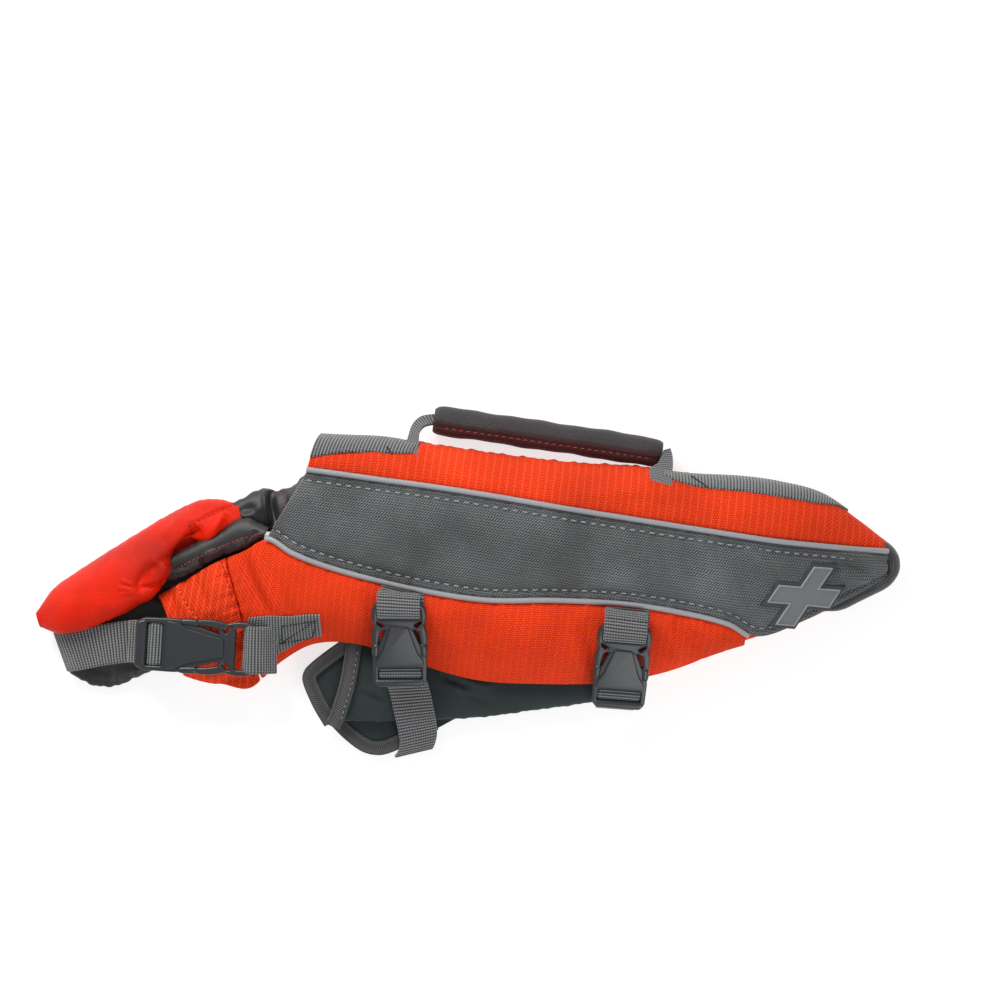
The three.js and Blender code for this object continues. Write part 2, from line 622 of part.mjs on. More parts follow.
// Spine webbing, which leaves the body for the handle and comes back behind it
const onTop = GAP + WEBBING;
const webWall = evenWall(WEBBING);
const frontEnds = [{ upper: -97.5, lower: -100.8 }, { upper: -48, lower: -49.5 }];
const rearEnds = [{ upper: 111, lower: 114 }, { upper: 213, lower: 206 }];
const SPINE_FRONT = { from: 0.1, to: 0.8 };
const SPINE_REAR = { from: 0.02, to: 0.53 };
function spineWebbing(name, { from, to }, ends, steps) {
  add(name, bodyPanel(from, to, ...ends, steps, STEPS.spineAcross, onTop, webWall), 'webbing');
}
spineWebbing('spine_webbing_front', SPINE_FRONT, frontEnds, STEPS.spineFront);
spineWebbing('spine_webbing_rear', SPINE_REAR, rearEnds, STEPS.spineRear);
add('handle_foot_front', strip([
  [0, -46.4, 74.5, 33.5, -43.9, 81.2, 12.5],
  [1, -43.8, 80, 30, -40.5, 84, 9],
  [2, -41.2, 87, 23, -37.8, 88.5, 5],
  [3, -38.8, 91.5, 16, -35.4, 93.5, 3.4],
], STEPS.foot, WEBBING), 'webbing');
const rearFoot = strip([
  [0, 99, 80.4, 30, 109.6, 84.6, 13],
  [1, 100, 85, 27, 109.4, 87.6, 9.5],
  [2, 102.4, 89, 20, 108.4, 91, 6],
  [3, 104.4, 92, 14, 106.8, 94, 4],
], STEPS.foot, WEBBING);
const SLEEVE_HALF_HEIGHT = SLEEVE_RADIUS * 0.9;
const SLEEVE_SIDES = 14;
const sleevePath = [
  [-34.6, 92.4], [-31, 92.4], [-10, 92.6], [15, 92.3], [40, 92.2], [65, 92], [88, 91.6], [97.5, 91.4],
  [100.8, 91.4],
].map(([x, y]) => new THREE.Vector3(x, y, SLEEVE_HALF_HEIGHT));
const sleeveTube = cord(sleevePath, SLEEVE_RADIUS, SLEEVE_HALF_HEIGHT, SLEEVE_SIDES);
const sleeve = add('handle_sleeve', sleeveTube, 'sleeve');
add('handle_foot_rear', clearOf(rearFoot, sleeve), 'webbing');

// Girth straps: each comes out of the lower seam, passes a buckle and goes round to the belly band
const STRAP_START = 2.06;
function strapTop(name, middle, slant, to) {
  const end = (side) => {
    const upper = middle + side * WEBBING_WIDTH / 2;
    return { upper, lower: upper + slant };
  };
  const steps = [STEPS.strapTop, STEPS.strapAcross];
  add(name, bodyPanel(STRAP_START, to, end(-1), end(1), ...steps, onTop, webWall), 'webbing');
}
strapTop('girth_strap_front', -37.5, 2, 2.34);
strapTop('girth_strap_rear', 91.5, 1, 2.46);
const frontBuckle = buckle(new THREE.Vector3(-38.6, -14, 49.4), new THREE.Vector3(-31.5, -62.5, 33.4));
const rearBuckle = buckle(new THREE.Vector3(91, -9.5, 49.6), new THREE.Vector3(94, -57.5, 32.2));
add('front_buckle_male', frontBuckle[0], 'plastic', 0.4);
add('front_buckle_female', frontBuckle[1], 'plastic', 0.4);
add('rear_buckle_male', rearBuckle[0], 'plastic', 0.4);
add('rear_buckle_female', rearBuckle[1], 'plastic', 0.4);
add('girth_strap_front_lower', strip([
  [0, -45.5, -56, 29.9, -21, -52.5, 30.3],
  [1, -38.5, -67, 22.5, -15.4, -62.5, 22.5],
  [2, -33, -82, 18, -10.5, -76, 18],
  [3, -28.4, -96, 12, -7.2, -88, 12],
  [4, -28, -103.5, 8.6, -7.2, -95.5, 8.6],
  [5, -29.8, -108, 5.2, -8, -99.5, 5.2],
], STEPS.frontLower, WEBBING), 'webbing');
add('girth_strap_rear_lower', strip([
  [0, 81.4, -48, 29.4, 105, -46.5, 29.4],
  [1, 81.6, -56, 26.8, 105, -54.5, 26.8],
  [2, 82, -60.5, 21, 105, -59, 21],
  [3, 82.5, -60, 15, 104.6, -58.5, 15],
], STEPS.rearLower, WEBBING), 'webbing');

// Chest strap across the wing
const chestBuckle = buckle(new THREE.Vector3(-115.5, -53.9, 31.8), new THREE.Vector3(-186.2, -59.6, 31.2));
add('chest_buckle_male', chestBuckle[0], 'plastic', 0.4);
add('chest_buckle_female', chestBuckle[1], 'plastic', 0.4);
const chestEnds = [{ upper: -124, lower: -122 }, { upper: -83, lower: -81 }];
const CHEST_RIGHT = { from: 2.59, to: 2.88 };
const chestSteps = [STEPS.chestRight, STEPS.chestAcross];
const chestRight = bodyPanel(CHEST_RIGHT.from, CHEST_RIGHT.to, ...chestEnds, ...chestSteps, onTop, webWall);
add('chest_strap_right', chestRight, 'webbing');
const chestLeft = strip([
  [0, -239.4, -62.4, 3.5, -227.8, -84.6, 3.5],
  [1, -238.4, -62, 10, -226.8, -84.2, 10],
  [2, -231, -60, 14.5, -220, -82, 14.5],
  [3, -210, -53, 18, -203, -76, 18],
  [4, -190, -47.5, 20.5, -186, -71.5, 20.5],
  [5, -172, -45.5, 21.4, -170.5, -70, 21.4],
], STEPS.chestLeft, WEBBING);
add('chest_strap_left', chestLeft, 'webbing');

// Neck: the chin float, the facing rolled over the wing's edge, and the lining that bulges out
const facing = clearOf(pad([
  [0, -175.5, -13, 15, -173, -22.5, 15, 4, 4],
  [1, -166, -4.5, 15, -163.5, -17.2, 18, 5, 6],
  [2, -148, 8, 15, -147, -4.5, 20, 5, 6],
  [3, -136, 15, 17, -135, 1.8, 22, 5, 6],
  [4, -120.5, 17, 22, -123.5, 9.8, 24, 4, 5],
], STEPS.facing, HALF_RING.facing, FLOOR), wing, side, flank);
add('neck_facing', facing, 'lining', 0.5);
const farWing = pad([
  [0, -237, -48, 4, -237, -60, 4, 2, 4],
  [1, -228, -40, 5, -228.6, -82.5, 5, 5, 5],
  [2, -218, -30, 5, -218, -88.6, 5, 6, 5],
  [3, -207, -20, 5, -207, -90.6, 5, 6, 5],
  [4, -193, -10, 5, -193, -86.4, 5, 5, 5],
  [5, -180, -2, 5, -180, -77, 5, 3.6, 5],
  [6, -160, 5, 5, -160, -70, 5, 6, 5],
  [7, -135, 10, 5, -135, -64, 5, 6, 5],
  [8, -112, 12, 5, -112, -56, 5, 5, 5],
], STEPS.farWing, HALF_RING.farWing, FLOOR);
add('far_wing', clearOf(farWing, wing, chestLeft, right, flank), 'lining', 0.5);
const chin = pad([
  [0, -249.6, -52, 13, -246, -60, 13, 2, 3],
  [1, -242, -36.5, 8, -233, -61.8, 17, 9, 12],
  [2, -228, -23.2, 7, -219, -57.5, 18, 14, 14],
  [3, -212.5, -9.8, 7, -205, -49.5, 17, 16, 14],
  [4, -197.2, 3, 7, -193.5, -42, 17, 16, 14],
  [5, -181.3, 15.8, 7, -180, -31, 17, 15, 13],
  [6, -165.6, 26, 8, -168.5, -12, 16, 13, 12],
  [7, -153.5, 28.6, 9, -152, 5, 15, 10, 10],
  [8, -143, 25.6, 11, -141.5, 14.6, 14, 5, 6],
], STEPS.chin, HALF_RING.chin, FLOOR);
const chinFloat = clearOf(chin, facing, farWing, chestLeft, wing);
add('chin_float', chinFloat, 'satin', 0.5);
const neckLining = pad([
  [0, -147, 26, 12, -143, 16, 16, 3, 4],
  [1, -129, 38.3, 10, -128, 19.2, 18, 6, 8],
  [2, -120.6, 38.5, 10, -119.5, 19.5, 18, 6, 8],
  [3, -112, 42, 10, -113, 21.5, 18, 7, 8],
  [4, -103, 51.5, 14, -107, 26, 20, 5, 4],
  [5, -90, 58, 19, -94, 33, 21, 4, 4],
  [6, -80, 56, 20, -82, 35, 21, 4, 4],
], STEPS.neckLining, HALF_RING.neckLining, FLOOR);
const nearLining = [facing, chinFloat, side, back, right, farWing, wing, flank, layers];
add('neck_lining', clearOf(neckLining, ...nearLining), 'lining', 0.5);

// Rubber patch in the shape of a plus, skewed as it lies on the tail
const PATCH = { x: 191.3, y: 21.1, along: [0.93, 0.05], across: [0.43, 0.9] };
function patchPoint(a, b, face) {
  const x = PATCH.x + PATCH_SPAN * (a * PATCH.along[0] + b * PATCH.across[0]);
  const y = PATCH.y + PATCH_SPAN * (a * PATCH.along[1] + b * PATCH.across[1]);
  const upper = read(SEAMS, 'upperY', x);
  const across = 1 + (upper - y) / (upper - read(SEAMS, 'lowerY', x));
  return onBody(x, across, GAP + (face === 0 ? PATCH_THICK : 0));
}
const PLUS = { cells: 13, arm: 4 };
add('tail_patch', plusPlate(PLUS.cells, PLUS.arm, patchPoint), 'rubber', 0.6);

export default group;
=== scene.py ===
# %% [markdown]
# # A small dog's life jacket, folded on its side
# The jacket lies on its right side on a pale table. Foam panels make its body, a piped grey
# panel runs along each flank, three buckles close it, and a satin float holds up the dog's chin.
# This lesson dresses plain solids with cloth, webbing and plastic, one piece at a time.

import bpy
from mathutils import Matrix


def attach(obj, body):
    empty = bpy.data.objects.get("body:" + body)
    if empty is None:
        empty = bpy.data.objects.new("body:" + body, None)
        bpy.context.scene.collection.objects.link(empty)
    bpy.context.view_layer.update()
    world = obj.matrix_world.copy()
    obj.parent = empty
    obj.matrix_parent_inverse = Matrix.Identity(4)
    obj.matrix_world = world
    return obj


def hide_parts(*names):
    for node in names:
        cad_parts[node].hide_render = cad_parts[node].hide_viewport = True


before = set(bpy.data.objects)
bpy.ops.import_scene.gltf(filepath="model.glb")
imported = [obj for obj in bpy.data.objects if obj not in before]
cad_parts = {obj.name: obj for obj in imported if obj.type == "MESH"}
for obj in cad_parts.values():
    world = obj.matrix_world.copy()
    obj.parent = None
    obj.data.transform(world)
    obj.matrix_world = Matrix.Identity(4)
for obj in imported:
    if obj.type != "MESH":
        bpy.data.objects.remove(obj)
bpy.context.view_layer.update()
print("solids to dress:", len(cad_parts))

# %% [markdown]
# Millimetres suit a garment better than metres. All sizes below are in millimetres, measured from
# a point near the middle of the body. One function turns them into metres at their true place.

# %% Units and small helpers
import math
from types import SimpleNamespace

import bmesh
import bpy
import numpy as np
from mathutils import Matrix, Vector
from mathutils.bvhtree import BVHTree

MM = 0.001
CENTRE = np.array([0.688, -4.028, 0.0])
WEBBING_WIDTH = 25.0
WEBBING = 1.6
GAP = 0.3
FOAM = 8.0
TAIL_FOAM = 5.0
HEM_WALL = 5.0
PIPING_RADIUS = 1.3
PIPING_FULL = 1.6
EDGE = 0.006


def metres(points):
    return (np.asarray(points, float) - CENTRE) * MM


def mix(a, b, t):
    return a + (b - a) * t


def ease(count, pull=0.6):
    """Steps from 0 to 1 that are closer together near both ends."""
    t = np.linspace(0, 1, count)
    return mix(t, (1 - np.cos(np.pi * t)) / 2, pull)


def smooth(value, low, high):
    t = np.clip((value - low) / (high - low), 0, 1)
    return t * t * (3 - 2 * t)


def unit(vectors):
    return vectors / np.maximum(np.linalg.norm(vectors, axis=-1, keepdims=True), 1e-9)


def add_object(name, data):
    made = bpy.data.objects.new(name, data)
    bpy.context.scene.collection.objects.link(made)
    return made


print("one unit is", MM, "m")

# %% [markdown]
# The camera looks straight down, as the photographer did. The jacket lies a little turned in the
# picture, so the camera is turned instead, and the jacket keeps its straight axes. A long lens
# from over a metre up keeps the raised parts from growing.

# %% Camera over the table
CAMERA_HEIGHT = 1200.0
CAMERA_OVER = (10.4, 51.2)
CAMERA_TURN = 8.0
VIEW_WIDTH = 580.0
VIEW_LEVEL = 25.0
SENSOR = 36.0

camera_data = bpy.data.cameras.new("table camera")
camera_data.sensor_width = SENSOR
camera_data.lens = SENSOR * (CAMERA_HEIGHT - VIEW_LEVEL) / VIEW_WIDTH
camera_data.clip_end = 20
camera = add_object("table camera", camera_data)
camera.location = metres([*CAMERA_OVER, CAMERA_HEIGHT])
camera.rotation_euler = (0, 0, math.radians(CAMERA_TURN))
bpy.context.scene.camera = camera
print("lens", round(camera_data.lens, 1), "mm")

# %% [markdown]
# Studio light for cloth is broad and soft. One large lamp stands beyond the spine and gives the
# folds their direction, a second fills from the belly side, and a bright room does the rest.
# The plain view keeps the orange as strong as it is on the real cloth.

# %% Floor, lamps and room
FLOOR_SIZE = 6000.0


def linear(red, green, blue):
    """A screen colour from 0 to 255 as the shader's linear colour."""
    share = np.array([red, green, blue]) / 255
    dark = share / 12.92
    light = ((share + 0.055) / 1.055) ** 2.4
    return (*np.where(share <= 0.04045, dark, light).tolist(), 1.0)


def lamp(name, place, aim, size, power, colour):
    data = bpy.data.lights.new(name, "AREA")
    data.shape = "SQUARE"
    data.size = size * MM
    data.energy = power
    data.color = colour
    made = add_object(name, data)
    made.location = Vector(place) * MM
    made.rotation_euler = (Vector(aim) - Vector(place)).to_track_quat("-Z", "Y").to_euler()


AIM = (0, 0, 20)
ROOM_STRENGTH = 0.42
FLOOR_GLOW = 0.72
lamp("key lamp", (-520, 760, 640), AIM, 460, 10.2, (1.0, 0.98, 0.96))
lamp("fill lamp", (500, -700, 900), AIM, 800, 6.0, (0.98, 0.99, 1.0))

room = bpy.data.worlds.new("bright room")
room.use_nodes = True
room.node_tree.nodes["Background"].inputs["Color"].default_value = (1, 1, 1, 1)
room.node_tree.nodes["Background"].inputs["Strength"].default_value = ROOM_STRENGTH
bpy.context.scene.world = room
bpy.context.scene.view_settings.view_transform = "Standard"

floor_mesh = bpy.data.meshes.new("floor")
half_floor = FLOOR_SIZE * MM / 2
corners = [(-1, -1), (1, -1), (1, 1), (-1, 1)]
floor_mesh.from_pydata([(x * half_floor, y * half_floor, 0) for x, y in corners], [], [(0, 1, 2, 3)])
floor = add_object("floor", floor_mesh)
floor_paint = bpy.data.materials.new("pale floor")
floor_paint.use_nodes = True
floor_shader = floor_paint.node_tree.nodes["Principled BSDF"]
floor_shader.inputs["Base Color"].default_value = linear(170, 170, 170)
floor_shader.inputs["Roughness"].default_value = 0.9
floor_shader.inputs["Emission Color"].default_value = linear(255, 255, 255)
floor_shader.inputs["Emission Strength"].default_value = FLOOR_GLOW
floor_mesh.materials.append(floor_paint)
print("floor and", len(bpy.data.lights), "lamps")

# %% [markdown]
# ## Finishes
# A cloth's finish is mostly its threads. One node group draws threads for every cloth here: ribs
# that may run askew, rows that cross them, and a weave in which each row is shifted by half a rib.
# Each material places the group with its own pitch, so a change of weave is a change of numbers.

# %% Node helpers
def add_node(tree, kind, settings=None, values=None):
    """Adds a node, sets its properties, and sets or wires its inputs."""
    made = tree.nodes.new(kind)
    for name, value in (settings or {}).items():
        setattr(made, name, value)
    for key, value in (values or {}).items():
        if isinstance(value, bpy.types.NodeSocket):
            tree.links.new(value, made.inputs[key])
        else:
            made.inputs[key].default_value = value
    return made


def calculate(tree, operation, *values):
    made = add_node(tree, "ShaderNodeMath", {"operation": operation}, dict(enumerate(values)))
    return made.outputs[0]


def noise(tree, where, scale, detail):
    values = {"Vector": where, "Scale": scale, "Detail": detail}
    return add_node(tree, "ShaderNodeTexNoise", None, values).outputs["Fac"]


def swing(tree, value, amount):
    """A noise of 0 to 1 as a change about 0."""
    centred = calculate(tree, "SUBTRACT", value, 0.5)
    return calculate(tree, "MULTIPLY", centred, amount)


def ridge(tree, place):
    """A wave from 0 to 1 with one crest for each whole number."""
    turned = calculate(tree, "MULTIPLY", place, 2 * math.pi)
    wave = calculate(tree, "COSINE", turned)
    return calculate(tree, "MULTIPLY_ADD", wave, 0.5, 0.5)


def new_group(name, takes, gives):
    """A shader group with named inputs, each with its first value, and named outputs."""
    tree = bpy.data.node_groups.new(name, "ShaderNodeTree")
    for label, kind, value in takes:
        socket = tree.interface.new_socket(label, in_out="INPUT", socket_type=kind)
        if value is not None:
            socket.default_value = value
    for label, kind in gives:
        tree.interface.new_socket(label, in_out="OUTPUT", socket_type=kind)
    return tree, tree.nodes.new("NodeGroupInput").outputs, tree.nodes.new("NodeGroupOutput")


print("node helpers ready")

# %% Threads, shared by every cloth
threads, take, give = new_group(
    "threads",
    [
        ("Place", "NodeSocketVector", None),
        ("Rib pitch", "NodeSocketFloat", 0.002),
        ("Row pitch", "NodeSocketFloat", 0.002),
        ("Skew", "NodeSocketFloat", 0.0),
        ("Wander", "NodeSocketFloat", 0.0002),
    ],
    [("Ribs", "NodeSocketFloat"), ("Rows", "NodeSocketFloat"), ("Weave", "NodeSocketFloat")],
)
shift = swing(threads, noise(threads, take["Place"], 90.0, 2.0), take["Wander"])
parts = add_node(threads, "ShaderNodeSeparateXYZ", None, {0: take["Place"]})
askew = calculate(threads, "MULTIPLY_ADD", parts.outputs["Y"], take["Skew"], parts.outputs["X"])
askew = calculate(threads, "MULTIPLY_ADD", shift, 6.0, askew)
rib_place = calculate(threads, "DIVIDE", askew, take["Rib pitch"])
level = calculate(threads, "MULTIPLY_ADD", shift, 6.0, parts.outputs["Y"])
row_place = calculate(threads, "DIVIDE", level, take["Row pitch"])
row_number = calculate(threads, "FLOOR", calculate(threads, "ADD", row_place, 0.5))
brick_place = calculate(threads, "MULTIPLY_ADD", row_number, 0.5, rib_place)
rib_wave = ridge(threads, rib_place)
row_wave = ridge(threads, row_place)
weave_wave = calculate(threads, "MULTIPLY", ridge(threads, brick_place), row_wave)
threads.links.new(rib_wave, give.inputs["Ribs"])
threads.links.new(row_wave, give.inputs["Rows"])
threads.links.new(weave_wave, give.inputs["Weave"])
print("thread group has", len(threads.nodes), "nodes")

# %% [markdown]
# Handled cloth is never one even colour. A second group adds slow, cloudy change, a little lighter
# and a little darker in random patches, and a fine fuzz. Where the cloud is strong, on the grey side
# panel and on the satin, it is painted shade that stands in for soft folds.

# %% Cloudy tone and painted shade, shared by every finish
handling_and_shade, take, give = new_group(
    "handling marks and painted shade",
    [
        ("Colour", "NodeSocketColor", (0.5, 0.5, 0.5, 1)),
        ("Cloud size", "NodeSocketFloat", 25.0),
        ("Cloud", "NodeSocketFloat", 0.12),
        ("Fuzz size", "NodeSocketFloat", 1500.0),
        ("Fuzz", "NodeSocketFloat", 0.1),
    ],
    [("Colour", "NodeSocketColor"), ("Fuzz", "NodeSocketFloat")],
)
where = handling_and_shade.nodes.new("ShaderNodeTexCoord").outputs["Object"]
cloud = noise(handling_and_shade, where, take["Cloud size"], 3.0)
fuzz = noise(handling_and_shade, where, take["Fuzz size"], 2.0)
cloud_part = swing(handling_and_shade, cloud, take["Cloud"])
fuzz_part = swing(handling_and_shade, fuzz, take["Fuzz"])
change = calculate(handling_and_shade, "ADD", cloud_part, fuzz_part)
value = calculate(handling_and_shade, "MULTIPLY_ADD", change, 2.0, 1.0)
shaded = add_node(
    handling_and_shade, "ShaderNodeHueSaturation", None, {"Color": take["Colour"], "Value": value}
)
handling_and_shade.links.new(shaded.outputs["Color"], give.inputs["Colour"])
handling_and_shade.links.new(fuzz, give.inputs["Fuzz"])
print("handling group has", len(handling_and_shade.nodes), "nodes")

# %% [markdown]
# A finish is then the shader with both groups in front of it. The weave darkens the gaps between
# the threads and lifts the threads in a bump, so light and colour agree.

# %% One maker for all woven finishes
# A colour mix has these sockets for its two colours and its result.
MIX_FIRST, MIX_SECOND, MIX_RESULT = 6, 7, 2


def start_material(name, roughness, sheen=0.0, shine=0.5):
    material = bpy.data.materials.new(name)
    material.use_nodes = True
    tree = material.node_tree
    shader = tree.nodes["Principled BSDF"]
    shader.inputs["Roughness"].default_value = roughness
    shader.inputs["Sheen Weight"].default_value = sheen
    shader.inputs["Specular IOR Level"].default_value = shine
    return material, tree, shader


def blend_colour(tree, share, first, second):
    values = {"Factor": share, MIX_FIRST: first, MIX_SECOND: second}
    return add_node(tree, "ShaderNodeMix", {"data_type": "RGBA"}, values).outputs[MIX_RESULT]


def bump(tree, shader, height, distance, strength=1.0):
    made = add_node(
        tree, "ShaderNodeBump", None, {"Height": height, "Distance": distance * MM, "Strength": strength}
    )
    tree.links.new(made.outputs["Normal"], shader.inputs["Normal"])


def thread_group(tree, place, rib_pitch, row_pitch, skew=0.0, wander=0.1):
    return add_node(
        tree,
        "ShaderNodeGroup",
        {"node_tree": threads},
        {
            "Place": place,
            "Rib pitch": rib_pitch * MM,
            "Row pitch": row_pitch * MM,
            "Skew": skew,
            "Wander": wander * MM,
        },
    ).outputs


def coat(tree, shader, colour, cloud, fuzz):
    """Colours the shader through the cloudy tone and painted shade, and gives back the fuzz."""
    values = {"Colour": colour, "Cloud": cloud, "Fuzz": fuzz}
    marked = add_node(tree, "ShaderNodeGroup", {"node_tree": handling_and_shade}, values).outputs
    tree.links.new(marked["Colour"], shader.inputs["Base Color"])
    return marked["Fuzz"]


def on_cut(tree):
    """Places on the flat cloth, in metres, from the piece's own map."""
    return add_node(tree, "ShaderNodeUVMap", {"uv_map": "cut"}).outputs["UV"]


def on_object(tree, turn):
    """Places in the object's own space, turned about the upright axis by some degrees."""
    where = tree.nodes.new("ShaderNodeTexCoord").outputs["Object"]
    values = {"Vector": where, "Rotation": (0, 0, math.radians(turn))}
    return add_node(tree, "ShaderNodeMapping", None, values).outputs["Vector"]


print("material makers ready")

# %% [markdown]
# Ripstop is a thin nylon with a thicker thread every few millimetres, which stops a tear. Those
# threads show as a pale grid, and here the ones that run across the body are the stronger.

# %% Ripstop, satin, oxford and lining
def ripstop(name, colour, pale, dark, line_pitch, strength):
    material, tree, shader = start_material(name, 0.7, 0.0, 0.14)
    place = on_cut(tree)
    lines = thread_group(tree, place, line_pitch, 2.1)
    fine = thread_group(tree, place, 1.6, 1.3, 0.0, 0.3)
    line = calculate(tree, "POWER", lines["Ribs"], 7.0)
    row = calculate(tree, "POWER", lines["Rows"], 3.0)
    grid = calculate(tree, "MAXIMUM", line, calculate(tree, "MULTIPLY", row, 0.3))
    cloth = blend_colour(tree, calculate(tree, "MULTIPLY", fine["Weave"], 1.2), dark, colour)
    cloth = blend_colour(tree, calculate(tree, "MULTIPLY", grid, strength), cloth, pale)
    coat(tree, shader, cloth, 0.4, 0.2)
    height = calculate(tree, "MULTIPLY_ADD", grid, 0.4, fine["Weave"])
    bump(tree, shader, height, 0.3, 0.9)
    return material


def plain_weave(name, colour, dark, pitch, roughness, depth, skew=0.0, cloud=0.14, sheen=0.2):
    material, tree, shader = start_material(name, roughness, sheen)
    weave = thread_group(tree, on_cut(tree), pitch, pitch, skew, 0.25)
    half_ribs = calculate(tree, "MULTIPLY", weave["Ribs"], 0.5)
    raised = calculate(tree, "MULTIPLY_ADD", weave["Weave"], 0.6, half_ribs)
    cloth = blend_colour(tree, raised, dark, colour)
    coat(tree, shader, cloth, cloud, 0.3)
    height = calculate(tree, "MULTIPLY_ADD", weave["Rows"], 0.5, weave["Ribs"])
    bump(tree, shader, height, depth, 0.7)
    return material


RIPSTOP_ORANGE = linear(251, 82, 26)
RIPSTOP_SHADE = linear(208, 36, 5)
RIPSTOP_LINE = linear(255, 116, 66)
ripstop_back = ripstop("ripstop back", RIPSTOP_ORANGE, RIPSTOP_LINE, RIPSTOP_SHADE, 4.4, 0.26)
ripstop_flank = ripstop("ripstop flank", RIPSTOP_ORANGE, RIPSTOP_LINE, RIPSTOP_SHADE, 4.2, 0.12)
ripstop_wing = ripstop("ripstop wing", RIPSTOP_ORANGE, RIPSTOP_LINE, RIPSTOP_SHADE, 4.2, 0.34)
# The oxford's strong cloud is painted shade: patches that stand in for the side panel's soft folds.
oxford = plain_weave("oxford", linear(130, 133, 135), linear(4, 6, 8), 1.6, 0.74, 0.6, skew=0.8, cloud=0.8)
lining = plain_weave("lining", linear(40, 41, 42), linear(16, 17, 18), 0.7, 0.46, 0.06, cloud=0.5, sheen=0.1)


def satin_finish():
    """Smooth satin, whose long threads run down the float and catch the light."""
    material, tree, shader = start_material("satin", 0.42, 0.0, 0.16)
    weave = thread_group(tree, on_object(tree, -52), 1.3, 0.6, 0.0, 0.15)
    cloth = blend_colour(tree, weave["Rows"], linear(188, 18, 0), linear(234, 40, 2))
    # The strong cloud here is painted shade: lighter and darker patches that stand in for the float's folds.
    coat(tree, shader, cloth, 0.8, 0.2)
    bump(tree, shader, weave["Weave"], 0.2, 0.8)
    return material


satin = satin_finish()
print("woven finishes:", [m.name for m in (ripstop_back, ripstop_flank, oxford, lining, satin)])

# %% [markdown]
# Webbing is woven so tightly that it stands in ribs across the strap, each broken into short
# blocks. The ribs themselves are in the mesh, and the material adds the blocks and the dark gaps.
# Binding tape is the same yarn with its ribs on the slant.

# %% Webbing and binding
RIB_PITCH = 1.9
BLOCK_PITCH = 1.5


def ribbed(name, colour, dark, rib_pitch, block_pitch, skew, depth):
    material, tree, shader = start_material(name, 0.78, 0.35)
    weave = thread_group(tree, on_cut(tree), rib_pitch, block_pitch, skew, 0.08)
    blocks = calculate(tree, "MULTIPLY_ADD", weave["Rows"], 0.6, 0.4)
    raised = calculate(tree, "MULTIPLY", weave["Ribs"], blocks)
    raised = calculate(tree, "POWER", raised, 0.8)
    cloth = blend_colour(tree, raised, dark, colour)
    coat(tree, shader, cloth, 0.12, 0.22)
    bump(tree, shader, raised, depth, 0.9)
    return material


webbing = ribbed("webbing", linear(146, 148, 150), linear(4, 5, 6), RIB_PITCH, BLOCK_PITCH, 0.0, 0.4)
binding = ribbed("binding", linear(92, 93, 95), linear(14, 15, 17), 1.3, 2.2, 1.4, 0.25)
print("strap finishes:", webbing.name, binding.name)

# %% [markdown]
# The rest are knit, foam and plastic. Neoprene is faced with a fine jersey, the piping is a pale
# reflective tape, the buckles are moulded nylon with a soft gloss, and the patch is matt rubber.

# %% Neoprene, piping, plastic, rubber and thread
def plain_finish(name, colour, roughness, cloud, fuzz, depth, sheen=0.0):
    material, tree, shader = start_material(name, roughness, sheen)
    raised = coat(tree, shader, colour, cloud, fuzz)
    bump(tree, shader, raised, depth, 0.6)
    return material


def thread_finish(name, colour, fuzz=0.2):
    return plain_finish(name, colour, 0.6, 0.05, fuzz, 0.05)


neoprene = plain_finish("neoprene", linear(26, 39, 39), 0.82, 0.5, 0.5, 0.2, sheen=0.2)
piping_tape = plain_finish("piping", linear(152, 152, 156), 0.45, 0.2, 0.2, 0.1)
nylon = plain_finish("moulded nylon", linear(44, 47, 51), 0.34, 0.08, 0.05, 0.03)
rubber = plain_finish("rubber", linear(106, 110, 112), 0.55, 0.1, 0.1, 0.04)
rubber_edge = plain_finish("rubber edge", linear(50, 53, 57), 0.6, 0.05, 0.06, 0.04)
rubber_line = plain_finish("rubber line", linear(142, 146, 148), 0.5, 0.05, 0.06, 0.04)
thread_grey = thread_finish("grey thread", linear(140, 145, 145), 0.3)
thread_dark = thread_finish("dark thread", linear(40, 41, 43))
thread_red = thread_finish("red thread", linear(176, 48, 44))
thread_orange = thread_finish("orange thread", linear(250, 96, 56))
thread_shade = thread_finish("shaded thread", linear(150, 18, 4))
print("other finishes: neoprene, piping, nylon, rubber, threads")

# %% [markdown]
# ## The folded body
# Every panel lies on one surface, the upper side of the folded jacket. A table gives the places of
# the spine, the two piped seams and the hem at a few sections, and smooth curves run through them.
# Because neighbouring panels read the same curves, they always meet at their seams.

